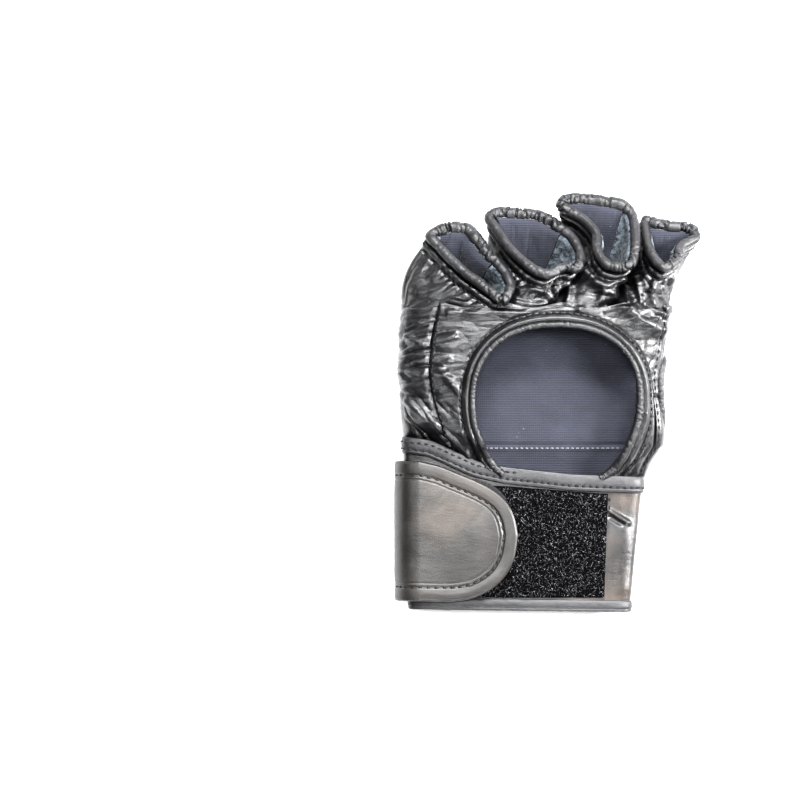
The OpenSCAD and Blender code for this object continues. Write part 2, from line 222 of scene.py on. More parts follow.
def grid_faces(rows, cols, wrap=False, start=0):
    j = np.arange(rows - 1)[:, None]
    i = np.arange(cols if wrap else cols - 1)[None, :]
    a = start + j * cols + i
    b = start + j * cols + (i + 1) % cols
    return np.stack([a, b, b + cols, a + cols], -1).reshape(-1, 4)


def normals(grid, wrap=False):
    """Unit normals of a grid of points."""
    if wrap:
        du = np.roll(grid, -1, axis=1) - np.roll(grid, 1, axis=1)
    else:
        du = np.gradient(grid, axis=1)
    return unit(np.cross(du, np.gradient(grid, axis=0)))


def facing(grid, middle, wrap=False):
    """Unit normals of a grid, pointing away from a line along Y through an X and a Z."""
    n = normals(grid, wrap)
    away = grid - [middle[0], 0, middle[1]]
    away[..., 1] = 0
    return n if (away * n).sum() > 0 else -n


def outward(points, faces):
    """Faces turned so that a closed mesh has its normals outwards."""
    a, b, c, d = (points[faces[:, k]] for k in range(4))
    volume = (a * np.cross(b, c)).sum() + (a * np.cross(c, d)).sum()
    return faces if volume > 0 else faces[:, ::-1]


def shell_faces(rows, cols, wrap):
    """Faces of two skins listed one after the other; the walls of the first and last row come last."""
    n = rows * cols
    i = np.arange(cols if wrap else cols - 1)
    k = (i + 1) % cols
    last = n - cols
    parts = [grid_faces(rows, cols, wrap), grid_faces(rows, cols, wrap, n)[:, ::-1]]
    if not wrap:
        j = np.arange(rows - 1) * cols
        e = j + cols - 1
        parts += [np.stack([j, j + cols, n + j + cols, n + j], 1),
                  np.stack([e, n + e, n + e + cols, e + cols], 1)]
    parts += [np.stack([i, n + i, n + k, k], 1),
              np.stack([last + i, last + k, n + last + k, n + last + i], 1)]
    return np.concatenate(parts)


def shell(outer, inner, wrap=False):
    """Points and faces of a closed shell between two skins."""
    points = np.concatenate([outer.reshape(-1, 3), inner.reshape(-1, 3)])
    return points, [outward(points, shell_faces(outer.shape[0], outer.shape[1], wrap))]


def tube(rings, closed=True):
    """Points and faces of a tube through rings of points, a closed loop or with domed ends."""
    count, sides = rings.shape[:2]
    if closed:
        rings = np.concatenate([rings, rings[:1]])
        faces = grid_faces(count + 1, sides, True) % (count * sides)
        points = rings[:-1].reshape(-1, 3)
        return points, [outward(points, faces)]
    points = np.concatenate([rings.reshape(-1, 3), rings[[0, -1]].mean(axis=1)])
    faces = grid_faces(count, sides, True)
    k = np.arange(sides)
    m = (k + 1) % sides
    tip = count * sides
    last = tip - sides
    ends = np.concatenate([
        np.stack([np.full(sides, tip), m, k], 1), np.stack([np.full(sides, tip + 1), last + k, last + m], 1)])
    body = outward(points, faces)
    return points, [body, ends if body is faces else ends[:, ::-1]]


def stitch_row(line, up, closed=False, pitch=None, share=0.68, lift=0.12):
    """Points and faces of a row of stitches along a line, each a short arched thread."""
    s = sizes()
    pitch = pitch or s.stitch
    along, total = run_length(line, closed)
    if closed:
        line, up = np.concatenate([line, line[:1]]), np.concatenate([up, up[:1]])
        along = np.concatenate([along, [total]])
    count = max(1, int(total / pitch))
    at = (np.arange(count) + 0.5) * total / count
    centre = np.stack([np.interp(at, along, line[:, k]) for k in range(3)], 1)
    ahead = np.stack([np.interp(at + 0.5, along, line[:, k]) for k in range(3)], 1)
    behind = np.stack([np.interp(at - 0.5, along, line[:, k]) for k in range(3)], 1)
    n = unit(np.stack([np.interp(at, along, up[:, k]) for k in range(3)], 1))
    t = unit(ahead - behind)
    b = unit(np.cross(n, t))
    n = np.cross(t, b)
    sides = 6
    w = np.linspace(-1, 1, 7)
    half, radius = pitch * share / 2, s.thread / 2
    shape = np.sqrt(np.maximum(0.02, 1 - np.abs(w) ** 4)) * radius
    turn = np.arange(sides) * 2 * math.pi / sides
    local = np.stack([
        np.repeat(w[:, None] * half, sides, 1),
        shape[:, None] * np.cos(turn) * 1.25,
        shape[:, None] * np.sin(turn) + (lift - 0.55 * (w[:, None] ** 4))], -1).reshape(-1, 3)
    points = centre[:, None] + local[None, :, :1] * t[:, None] + local[None, :, 1:2] * b[:, None] \
        + local[None, :, 2:] * n[:, None]
    each = len(local)
    body = grid_faces(len(w), sides, True)
    cap = np.array([[0, 5, 4, 3], [0, 3, 2, 1]])
    one = np.concatenate([body, cap, (cap[:, ::-1] + each - sides)])
    one = outward(points[0], one)
    faces = (one[None] + (np.arange(count) * each)[:, None, None]).reshape(-1, 4)
    return points.reshape(-1, 3), [faces]


def join_parts(parts):
    """One list of points and faces from several."""
    points, faces, start = [], [], 0
    for p, groups in parts:
        points.append(p)
        faces += [g + start for g in groups]
        start += len(p)
    return np.concatenate(points), faces


# ---------------------------------------------------------------- materials
class Value:
    """A shader socket that can be used in a Python expression."""

    def __init__(self, tree, socket):
        self.tree, self.socket = tree, socket

    def _math(self, operation, *values):
        return self.tree.node("ShaderNodeMath", {"operation": operation}, *values)

    def __add__(self, other):
        return self._math("ADD", self, other)

    def __radd__(self, other):
        return self._math("ADD", other, self)

    def __sub__(self, other):
        return self._math("SUBTRACT", self, other)

    def __rsub__(self, other):
        return self._math("SUBTRACT", other, self)

    def __mul__(self, other):
        return self._math("MULTIPLY", self, other)

    def __rmul__(self, other):
        return self._math("MULTIPLY", other, self)

    def __truediv__(self, other):
        return self._math("DIVIDE", self, other)

    def __rtruediv__(self, other):
        return self._math("DIVIDE", other, self)

    def __pow__(self, other):
        return self._math("POWER", self, other)

    def __rpow__(self, other):
        return self._math("POWER", other, self)

    def above(self, low, high):
        """0 below low and 1 above high, with a smooth step between."""
        return self.tree.node(
            "ShaderNodeMapRange", {"interpolation_type": "SMOOTHSTEP"},
            {"Value": self, "From Min": low, "From Max": high})


class Shader:
    """A material's node tree, built from calls."""

    def __init__(self, name):
        self.material = bpy.data.materials.new(name)
        self.material.use_nodes = True
        self.nodes = self.material.node_tree.nodes
        self.links = self.material.node_tree.links
        self.nodes.clear()
        self.place = self.node("ShaderNodeTexCoord", {}, out="Object")

    def node(self, kind, settings, *values, out=0):
        """Adds a node: its settings first, then its sockets, by order or by name."""
        node = self.nodes.new(kind)
        for key, value in settings.items():
            setattr(node, key, value)
        named = {}
        for k, value in enumerate(values):
            named.update(value if isinstance(value, dict) else {k: value})
        for key, value in named.items():
            if isinstance(value, Value):
                self.links.new(value.socket, node.inputs[key])
            else:
                node.inputs[key].default_value = value
        return None if out is None else Value(self, node.outputs[out])

    def noise(self, scale, detail=2.0, rough=0.5, distort=0.0, place=None):
        return self.node("ShaderNodeTexNoise", {}, {
            "Vector": place or self.place, "Scale": scale, "Detail": detail, "Roughness": rough,
            "Distortion": distort}, out="Fac")

    def cells(self, scale, feature="DISTANCE_TO_EDGE", place=None):
        return self.node("ShaderNodeTexVoronoi", {"feature": feature}, {
            "Vector": place or self.place, "Scale": scale, "Randomness": 1.0}, out="Distance")

    def bands(self, direction, scale, distort, detail_scale):
        return self.node("ShaderNodeTexWave", {"wave_type": "BANDS", "bands_direction": direction}, {
            "Vector": self.place, "Scale": scale, "Distortion": distort, "Detail": 1.0,
            "Detail Scale": detail_scale}, out="Fac")

    def stretched(self, scale, turn=(0, 0, 0)):
        """Object coordinates scaled and turned."""
        return self.node("ShaderNodeMapping", {}, {
            "Vector": self.place, "Rotation": turn, "Scale": scale})

    def shade(self, low, high, factor):
        """A colour from low to high."""
        return self.node("ShaderNodeMix", {"data_type": "RGBA"}, {
            0: factor, 6: (*low, 1) if not isinstance(low, Value) else low,
            7: (*high, 1) if not isinstance(high, Value) else high}, out=2)

    def bump(self, height, distance, strength=1.0):
        return self.node("ShaderNodeBump", {}, {
            "Height": height, "Distance": distance, "Strength": strength}, out="Normal")

    def finish(self, **sockets):
        """The surface shader, with each socket by its name."""
        names = {k.replace("_", " "): v for k, v in sockets.items()}
        surface = self.node("ShaderNodeBsdfPrincipled", {}, names, out="BSDF")
        self.node("ShaderNodeOutputMaterial", {}, {"Surface": surface}, out=None)
        return self.material


def tone(colour, by):
    return tuple(min(1.0, c * by) for c in colour)


def leather_material(name, colour, rough, grain, wear=(0.16, 0.145, 0.13), cloud=0.0, coat=0.15):
    """Grained leather: pebbled cells, fine creases, dull handled patches and scuffed high spots."""
    m = Shader(name)
    warp = m.noise(160, 2, 0.5)
    pebbles = m.cells(1150, place=m.node(
        "ShaderNodeVectorMath", {"operation": "ADD"}, m.place,
        m.node("ShaderNodeCombineXYZ", {}, warp * 0.0012, warp * 0.0009, 0.0)))
    fine = m.cells(2600)
    creases = m.noise(1.0, 5, 0.62, 0.4, place=m.stretched((190, 620, 300), (0, 0, 0.35)))
    patches = m.noise(38, 3, 0.55)
    scuffs = m.noise(900, 3, 0.7).above(0.66, 0.8) * m.noise(75, 2, 0.5).above(0.5, 0.68)
    base = m.shade(tone(colour, 0.75), tone(colour, 1.5), patches.above(0.35, 0.7))
    if cloud:
        base = m.shade(base, tone(wear, cloud), m.noise(30, 3, 0.5).above(0.5, 0.78))
    base = m.shade(base, wear, scuffs * 0.32)
    height = pebbles.above(0.0, 0.28) * 0.3 + fine.above(0.0, 0.3) * 0.1 + creases * 1.9
    roughness = rough + 0.14 * patches - 0.06 * pebbles.above(0.0, 0.3) + 0.1 * scuffs
    return m.finish(
        Base_Color=base, Roughness=roughness, Specular_IOR_Level=0.7,
        Normal=m.bump(height, 0.0002 * grain, 0.7), Coat_Weight=coat, Coat_Roughness=0.25)


def knit_material(name, colour):
    """Fine knit: close ribs across, broken by the stitches along them, with lint."""
    m = Shader(name)
    ribs = m.bands("Y", 390, 0.5, 60.0)
    wales = m.bands("X", 330, 0.4, 60.0)
    fuzz = m.noise(2400, 2, 0.7)
    broad = m.noise(45, 3, 0.5)
    lint = m.cells(420, "F1").above(0.0, 0.16)
    base = m.shade(tone(colour, 0.62), tone(colour, 1.45), ribs * 0.5 + wales * 0.08 + fuzz * 0.42)
    base = m.shade(base, tone(colour, 1.9), broad.above(0.45, 0.8) * 0.35)
    base = m.shade((0.30, 0.31, 0.33), base, 1 - (1 - lint) * m.noise(130, 1, 0.5).above(0.62, 0.7))
    return m.finish(
        Base_Color=base, Roughness=0.82 + 0.14 * fuzz, Sheen_Weight=0.35, Sheen_Roughness=0.45,
        Specular_IOR_Level=0.25,
        Normal=m.bump(ribs * 0.7 + wales * 0.15 + fuzz * 0.6, 0.00022, 0.9))


def suede_material(name, colour):
    """Napped suede, mottled light and dark by brushing: the mottle follows the nap, and its light and dark
    ends are painted highlight and painted shade of that nap.
    """
    m = Shader(name)
    nap = m.noise(1400, 4, 0.75)
    brushed_nap_and_sheen = m.noise(1.0, 3, 0.6, 0.8, place=m.stretched((260, 420, 330)))
    # Painted highlight and painted shade: the nap's mottle sets the colour from a quarter to 2.7 times the
    # suede colour.
    base = m.shade(tone(colour, 0.25), tone(colour, 2.7), (brushed_nap_and_sheen * 0.75 + nap * 0.35).above(0.36, 0.78))
    return m.finish(
        Base_Color=base, Roughness=0.93 + 0.06 * nap, Sheen_Weight=0.12, Sheen_Roughness=0.5,
        Specular_IOR_Level=0.2, Normal=m.bump(nap * 0.7 + brushed_nap_and_sheen * 0.8, 0.0004, 1.0))


def pile_material(name, colour, glint=0.42):
    """Glossy nylon fibres with painted glints: some fibres are coloured light as if catching the light."""
    m = Shader(name)
    glint_strands = m.noise(1300, 2, 0.7)
    # Painted glints: fibres picked by noise are coloured light, up to the glint value.
    base = m.shade(colour, (glint, glint, 1.06 * glint), glint_strands.above(0.48, 0.72))
    return m.finish(Base_Color=base, Roughness=0.45 + 0.3 * glint_strands, Specular_IOR_Level=0.5)


def mat_material(name, colour):
    """The dark woven ground under the loops."""
    m = Shader(name)
    weave = m.noise(1900, 3, 0.8)
    base = m.shade(tone(colour, 0.4), tone(colour, 1.6), weave.above(0.35, 0.75))
    return m.finish(Base_Color=base, Roughness=0.9 + 0.08 * weave, Specular_IOR_Level=0.08,
                    Normal=m.bump(weave, 0.0004, 1.0))


def thread_material(name, colour):
    """Twisted sewing thread."""
    m = Shader(name)
    twist = m.bands("DIAGONAL", 520, 0.3, 20.0)
    base = m.shade(tone(colour, 0.6), tone(colour, 1.5), twist * 0.7 + m.noise(700, 2, 0.6) * 0.3)
    return m.finish(Base_Color=base, Roughness=0.55 + 0.2 * twist, Normal=m.bump(twist, 0.00012, 0.8))


def foam_material(name, colour):
    """Open-celled foam padding."""
    m = Shader(name)
    cells = m.cells(900)
    base = m.shade(tone(colour, 0.6), colour, cells.above(0.0, 0.3))
    return m.finish(Base_Color=base, Roughness=0.9, Normal=m.bump(cells, 0.0003, 0.8))


def floor_material(name):
    m = Shader(name)
    soft = m.noise(3, 2, 0.5)
    base = m.shade((0.86, 0.86, 0.865), (0.90, 0.90, 0.90), soft)
    return m.finish(Base_Color=base, Roughness=0.6 + 0.1 * soft, Specular_IOR_Level=0.1)


MATERIALS = {}


def material(name):
    """Each material is made once, when a piece first needs it."""
    if name not in MATERIALS:
        c = colours()
        MATERIALS[name] = {
            "leather": lambda: leather_material("glove_leather", c.leather, 0.28, 1.0, coat=0.25),
            "binding": lambda: leather_material("binding_leather", c.binding, 0.42, 0.6, coat=0.05),
            "strap": lambda: leather_material(
                "strap_leather", c.strap, 0.4, 0.4, (0.12, 0.096, 0.078), cloud=0.36, coat=0.1),
            "cuff": lambda: leather_material(
                "cuff_leather", c.leather, 0.33, 0.5, (0.15, 0.118, 0.095), cloud=0.4, coat=0.2),
            "pile_mat": lambda: mat_material("loop_mat", c.pile),
            "knit": lambda: knit_material("knit_lining", c.knit),
            "suede": lambda: suede_material("suede_lining", c.suede),
            # The loop pile and the hook pile carry painted glints on their fibres, faint on the hooks.
            "pile": lambda: pile_material("loop_pile", c.pile),
            "hooks": lambda: pile_material("hook_pile", c.pile, 0.06),
            "thread": lambda: thread_material("sewing_thread", (0.022, 0.022, 0.024)),
            "pale_thread": lambda: thread_material("pale_thread", (0.17, 0.17, 0.18)),
            "foam": lambda: foam_material("padding_foam", (0.06, 0.06, 0.065)),
            "floor": lambda: floor_material("studio_floor"),
        }[name]()
    return MATERIALS[name]


# ---------------------------------------------------------------- the flattened hand, in millimetres
# Y along the hand, then the section's left and right edges and its share of the full height.
HAND = np.array([
    [-40, -66.5, 44, 0.70], [-30, -66, 47.5, 0.78], [-20, -66.5, 52.5, 0.87], [-5, -68.3, 53, 0.95],
    [12, -69.6, 52.3, 1], [30, -69.5, 55.2, 1], [46, -68.3, 57.6, 1]])
HAND_HEIGHT, HAND_N, BACK_SINK = 34.5, 3.0, 2.0
WRIST_HEIGHT = 21.6
HAND_MIDDLE = (-8, 16)
LINING_T = 0.9

# Line of the band that joins the hand to the cuff, over the palm side.
BAND = np.array([[-67, -20], [-55, -21.5], [-45, -26], [-34, -31], [-20, -34], [11, -37.3], [44, -38.6]])
BAND_HALF = 3.6

# Palm opening: centre X, half width, half length and roundness of its outline, then its ends in degrees.
# Thumb opening: centre Y, then centre, half span and half length round the hand's side.
HOLE_X, HOLE_W, HOLE_H, HOLE_N = 3.5, 37.2, 33.8, 2.3
THUMB_Y, THUMB_A, THUMB_SPAN, THUMB_L = 2.0, -5.0, 16.0, 18.0
HOLE_FROM, HOLE_TO = 234, -61
PALM_TOP, PALM_LOW, BACK_TOP = 44.5, -25.5, 44.0
BACK_FROM, BACK_TO = 192.0, 328.0
SEAM_PITCH = 3.3

# Raised folds in the worn leather: points along each, then its half width and height.
FOLDS = [
    ([(19, 58.6), (31.6, 47.2), (41, 38.6), (52, 33)], 3.3, 2.2),
    ([(8.7, 56), (9.5, 51), (8.4, 46)], 1.7, 1.9),
    ([(-13, 51), (-5, 52), (2, 47.5), (3, 52)], 1.9, 1.8),
    ([(-15, 46), (-8, 44.6), (0, 45.5)], 1.6, 1.2),
    ([(34.4, 57.7), (36, 51), (37.5, 44)], 1.5, 1.7),
    ([(40, 56.7), (41.5, 51), (42, 45.5)], 1.3, 1.4),
    ([(49, 56), (47.5, 50), (49, 44), (54, 40)], 1.8, 1.5),
    ([(58.5, 56), (58, 49), (57, 42)], 1.6, 1.2),
    ([(25, 50), (22, 45), (14, 42.5)], 1.7, 1.2),
    ([(-45, 46.5), (-36, 44.5), (-27, 45)], 1.7, 1.3),
    ([(-46, 41), (-28, 40.5), (-12, 41)], 1.6, 1.0),
    ([(-66, 0), (-50, -12), (-37, -25)], 2.2, 1.6),
    ([(-50, 15), (-38, 0), (-31, -8)], 1.8, 1.3),
    ([(-60, 50), (-48, 52), (-40, 55)], 2.0, 1.2),
    ([(-66, 30), (-56, 26), (-44, 30)], 1.8, 1.3),
    ([(-68, 14), (-58, 12), (-46, 18)], 1.8, 1.2),
]


def hand_section(y):
    left, right, share = (np.interp(y, HAND[:, 0], HAND[:, k]) for k in (1, 2, 3))
    top = HAND_HEIGHT * share
    return (left + right) / 2, (right - left) / 2, (top - BACK_SINK) / 2, (top + BACK_SINK) / 2


def hand_point(a, y, inset=0.0):
    """Points of the hand's outer skin; a is the angle in degrees from the thumb side over the palm."""
    cx, w, cz, h = hand_section(y)
    c, s = np.cos(np.radians(a)), np.sin(np.radians(a))
    x = cx + (w - inset) * spow(c, 2 / HAND_N)
    z = cz + (h - inset) * spow(s, 2 / HAND_N)
    return np.stack([x, y + 0 * c, np.maximum(inset, z * tucked(x, y, s > 0))], -1)


def tucked(x, y, palm_side):
    """Share of the height left where the hand draws in to the band at the wrist."""
    near = 1 - smooth(y - band_y(x, palm_side), 2.5, 14)
    return 1 - near * (1 - WRIST_HEIGHT / (HAND_HEIGHT * np.interp(y, HAND[:, 0], HAND[:, 3])))


def hand_rise(x, y, inset):
    cx, w, _, h = hand_section(y)
    inside = np.maximum(0, 1 - (np.abs(x - cx) / (w - inset)) ** HAND_N)
    return (h - inset) * inside ** (1 / HAND_N)


def palm_z(x, y, inset=0.0):
    return hand_section(y)[2] + hand_rise(x, y, inset)


def back_z(x, y, inset=0.0):
    return np.maximum(inset, hand_section(y)[2] - hand_rise(x, y, inset))


def angle_at(x, y):
    cx, w, _, _ = hand_section(y)
    return np.degrees(np.arccos(np.clip(spow((x - cx) / w, HAND_N / 2), -1, 1)))


def seam_x(y):
    """X of the seam between the palm leather and the side panel."""
    return -55 + np.where(y > 14, 0.0046, 0.0084) * (y - 14) ** 2


def band_y(x, palm_side):
    """Y of the band's middle: the curved line on the palm side, straight between its ends behind."""
    first, last = BAND[0], BAND[-1]
    straight = lerp(first[1], last[1], (x - first[0]) / (last[0] - first[0]))
    return np.where(palm_side, np.interp(x, BAND[:, 0], BAND[:, 1]), straight)


def ridge(x, y, line, width):
    """1 along a smooth line, falling to 0 on both sides and past its ends."""
    return np.exp(-off_line(x, y, spline(line, 5 * len(line), closed=False)) / width ** 2)


def relief(p):
    """Height of the creases in the hand's leather at points of it, in millimetres."""
    x, y, z = p[..., 0], p[..., 1], p[..., 2]
    palm = smooth(z, 6, 16)
    left = 1 - smooth(x, -50, -36)
    low = left * (1 - smooth(y, -8, 10))
    upper = smooth(y, 30, 42)
    right = smooth(x, 34, 46)
    h = 0.4 * (puffs(p, 12, 17, 7, 5) - 0.6)
    h = h + 1.35 * (left - low) * (1 - upper) * (puffs(p, 7, 20, 5.0, 3, 0.32) - 0.62)
    h = h + 1.2 * low * (puffs(p, -48, 24, 6.2, 4, 0.3) - 0.62)
    h = h + 0.8 * upper * (1 - 0.5 * right) * (puffs(p, 4, 20, 5.6, 7, 0.32) - 0.62)
    h = h + 0.5 * right * upper * (puffs(p, -37, 17, 6.0, 8) - 0.62)
    h = h + 0.3 * right * (1 - upper) * smooth(y, -12, 8) * (puffs(p, 70, 18, 6.5, 9) - 0.6)
    h = h + 0.1 * (puffs(p, 20, 6, 2.2, 21) - 0.6)
    h = h * (1 - 0.7 * right * (1 - smooth(y, -8, 6)))
    for line, width, height in FOLDS:
        h = h + height * palm * ridge(x, y, line, width)
    h = h + 2.6 * palm * np.exp(-((x - 53) / 9) ** 2 - ((y + 15) / 10) ** 2)
    h = h * (0.3 + 0.7 * smooth(z, 8, 25))
    seam = [(-52, 72), (-58, 68.5), (-63, 62), (-66.4, 54), (-67.6, 46)]
    corner = ridge(x, y, [(-60, 76), (-66, 68), (-70, 58), (-71, 47)], 5.5)
    outside = smooth(corner, 0.15, 0.7) * smooth(y, 44, 50)
    h = h * (1 - 0.8 * outside) - 1.1 * ridge(x, y, seam, 1.0)
    return sizes().creases * h - 0.3


def leather_shell(grid, n, height, wrap=False):
    """A shell of leather over a grid, its outer skin raised by height."""
    outer = grid + n * height[..., None]
    inner = grid + n * (0.7 * height - 0.3 - sizes().leather)[..., None]
    return shell(outer, inner, wrap), outer


def edge_dip(distance, depth=0.9, width=1.3):
    """Leather pulled down into a seam that far away."""
    return -depth * np.exp(-(distance / width) ** 2)


# ---------------------------------------------------------------- hand pieces
def hole_edge(u, grow):
    f = np.radians(lerp(HOLE_FROM, HOLE_TO, u))
    y = (HOLE_H + grow) * spow(np.sin(f), 2 / HOLE_N)
    return np.stack([
        HOLE_X + (HOLE_W + grow) * spow(np.cos(f), 2 / HOLE_N), y - 4.5 * smooth(-y, 14, 31)], -1)


def hole_distance(x, y):
    """Distance outwards from the palm opening's outline."""
    return np.sqrt(off_line(x, y, hole_edge(np.linspace(0, 1, 200), 0)))


def palm_edge(u):
    """Outline of the palm leather: up the side seam, across below the fingers, down the thumb side."""
    y = lerp(PALM_LOW, PALM_TOP, np.clip(u / 0.27, 0, 1))
    right_y = lerp(PALM_TOP, -37.8, np.clip((u - 0.7) / 0.3, 0, 1))
    top_right = hand_point(np.array(24.0), np.array(PALM_TOP))[0]
    x = np.where(u < 0.27, seam_x(y), lerp(seam_x(PALM_TOP), top_right, np.clip((u - 0.27) / 0.43, 0, 1)))
    x = np.where(u > 0.7, hand_point(24 + 0 * u, right_y)[..., 0], x)
    wave = 1.2 * np.sin(x * 0.21) * ((u > 0.27) & (u < 0.7))
    return np.stack([x, np.where(u < 0.7, y, right_y) + wave], -1)


def palm_point(xy, inset=0.0):
    return hand_point(angle_at(xy[..., 0], xy[..., 1]), xy[..., 1], inset)


def build_palm():
    cols, rows = 460, 64
    u = np.linspace(0, 1, cols)[None, :]
    v = np.linspace(0, 1, rows)[:, None, None]
    xy = lerp(hole_edge(u, 2.2), palm_edge(u), v)
    grid = palm_point(xy)
    n = facing(grid, HAND_MIDDLE)
    d = hole_distance(xy[..., 0], xy[..., 1])
    outer_d = np.linalg.norm(xy - palm_edge(u), axis=-1)
    height = relief(grid) * smooth(d, 3.5, 9) * (0.5 + 0.5 * smooth(outer_d, 0, 3))
    height += 1.0 * np.exp(-((d - 4.5) / 1.3) ** 2) - 0.75 * np.exp(-((d - 7.1) / 0.7) ** 2)
    height += edge_dip(outer_d)
    shape, outer = leather_shell(grid, n, height)
    add_piece("palm_leather", shape, "glove", material("leather"), ["palm_panel"])
    near = np.argmin(np.abs(d - 7.1) + 100 * (d < 5), axis=0)
    k = np.arange(cols)
    row = stitch_row(outer[near, k], n[near, k], pitch=sizes().stitch * 0.95, lift=0.3)
    side = slice(6, int(cols * 0.262))
    seam = stitch_row(outer[-5, side], n[-5, side], pitch=3.1, lift=0.2)
    return [row, seam]


def gathered_roll(line, axis, radius, closed, seed, amp=0.16, flat=0.9, sides=22, pitch=1.55):
    """A rolled leather edge along a line, puckered where its stitches gather it."""
    ahead = np.roll(line, -1, axis=0) - np.roll(line, 1, axis=0) if closed else np.gradient(line, axis=0)
    t = unit(ahead)
    side = unit(np.cross(t, axis))
    lift = np.cross(side, t)
    along, _ = run_length(line, closed)
    turn = np.arange(sides) * 2 * math.pi / sides
    c, s = np.cos(turn)[None, :], np.sin(turn)[None, :]
    a = along[:, None] + 0 * c
    total = along[-1] + np.linalg.norm(line[0] - line[-1])
    whole = a / total * 2 * math.pi
    ring = total / pitch / (2 * math.pi)
    spot = (np.stack([np.cos(whole) * ring, np.sin(whole) * ring, c * 0.5 + s * 0.35 + 0 * a], -1)
            if closed else np.stack([a / pitch, c * 0.5 + 0 * a, s * 0.35 + 0 * a], -1))
    pinch = np.exp(-(noise(spot, seed) / 0.15) ** 2)
    strength = np.clip(0.85 + 0.9 * noise(spot * 0.2, seed + 2), 0, 1.5)
    r = (radius * (1.02 + 0.1 * noise(spot * 0.8, seed + 1) - amp * strength * pinch))[..., None]
    across = c[..., None] * side[:, None] + flat * s[..., None] * lift[:, None]
    return tube(line[:, None] + r * across, closed)


def build_palm_binding():
    u = np.linspace(0, 1, 620)
    roll = sizes().palm_roll
    line = palm_point(hole_edge(u, roll / 2 + 0.1 - 0.6 * smooth(u, 0.7, 0.85))) + np.array([0, 0, 0.2])
    line[:, 2] += 0.25 * np.sin(u * 60) * smooth(u, 0.75, 1)
    bunch = 1 + 0.35 * np.exp(-((u - 0.03) / 0.03) ** 2) + 0.3 * smooth(u, 0.7, 0.85)
    shape = gathered_roll(line, np.array([0, 0, 1.0]), (roll / 2 * bunch)[:, None], False, 31, 0.2, 1.0)
    add_piece(
        "palm_opening_roll", shape, "glove", material("binding"), ["palm_opening_binding"])


def build_side():
    cols, rows = 150, 170
    u, v = net(cols, rows)
    guess = lerp(PALM_LOW, PALM_TOP, v)
    a = lerp(angle_at(seam_x(guess) - 0.4, guess), 192.6, u)
    start = band_y(hand_point(a, -20 + 0 * a)[..., 0], True) + 0.5
    y = lerp(start, PALM_TOP - 1.5 * np.sin(u * 5), v)
    grid = hand_point(a, y)
    n = facing(grid, HAND_MIDDLE)
    along = np.linalg.norm(grid - grid[:, :1], axis=-1)
    across = np.linalg.norm(grid - grid[:, -1:], axis=-1)
    height = relief(grid) + edge_dip(along) + edge_dip(across) + edge_dip(PALM_TOP - y, 0.7)
    shape, outer = leather_shell(grid, n, height)
    add_piece("side_leather", shape, "glove", material("leather"), ["side_panel"])
    return [stitch_row(outer[4:-4, -5], n[4:-4, -5], pitch=SEAM_PITCH, lift=0.2)]


def thumb_line(f, inset=0.0, grow=0.0):
    return hand_point(
        THUMB_A + (THUMB_SPAN + grow) * np.cos(f), THUMB_Y + (THUMB_L + grow) * np.sin(f), inset)


def build_thumb():
    cols, rows = 120, 110
    stitches = []
    u, v = net(cols, rows)
    a = lerp(-32.6, 23.3, u)
    s = (a - THUMB_A) / (THUMB_SPAN + 1)
    notch = (THUMB_L + 1) * np.sqrt(np.maximum(0, 1 - s * s))
    for name, end, side in (("upper", PALM_TOP, 1), ("lower", -38.0, -1)):
        near = THUMB_Y + side * (notch + 0.15)
        grid = hand_point(a + 0 * v, lerp(near, end, v))
        n = facing(grid, HAND_MIDDLE)
        from_hole = np.linalg.norm(grid - grid[:1], axis=-1)
        to_palm = np.linalg.norm(grid - grid[:, -1:], axis=-1)
        height = relief(grid) * smooth(from_hole, 0.5, 5) + edge_dip(to_palm) + edge_dip(from_hole, 0.5)
        shape, outer = leather_shell(grid, n, height)
        add_piece(
            "thumb_%s_leather" % name, shape, "glove", material("leather"),
            ["thumb_%s_panel" % name])
        stitches.append(stitch_row(outer[6:-3, -6], n[6:-3, -6], pitch=SEAM_PITCH, lift=0.2))
        stitches.append(stitch_row(outer[5, 4:-14], n[5, 4:-14], pitch=3.2, lift=0.2))
    f = np.arange(360) * 2 * math.pi / 360
    line = thumb_line(f)
    shape = gathered_roll(line, np.array([1.0, 0, 0]), sizes().thumb_roll / 2, True, 41, 0.2, 1.0)
    add_piece("thumb_roll", shape, "glove", material("binding"), ["thumb_binding"])
    return stitches


def build_back():
    cols, rows = 180, 110
    u, v = net(cols, rows)
    left, right = (hand_point(np.array(a), np.array(0.0))[0] for a in (BACK_FROM, BACK_TO))
    start = band_y(lerp(left, right, u), False) + 0.5
    y = lerp(start, BACK_TOP, v)
    x = lerp(hand_point(BACK_FROM + 0 * y, y)[..., 0], hand_point(BACK_TO + 0 * y, y)[..., 0], u)
    grid = hand_point(360 - angle_at(x, y), y)
    n = facing(grid, HAND_MIDDLE)
    edge = np.minimum(*(np.linalg.norm(grid - grid[:, k], axis=-1) for k in (slice(0, 1), slice(-1, None))))
    rim = smooth(edge, 0, 9) * smooth(BACK_TOP - y, 0, 8)
    height = 0.3 * relief(grid) + 0.2 + edge_dip(edge)
    on_floor = grid[..., 2] < 0.05
    shape, outer = leather_shell(grid, n, np.where(on_floor, np.minimum(height, 0.0) * rim, height))
    back = add_piece("back_leather", shape, "glove", material("leather"), ["back_cover"])
    return [stitch_row(outer[4:-4, k], n[4:-4, k], pitch=SEAM_PITCH) for k in (5, -6)]


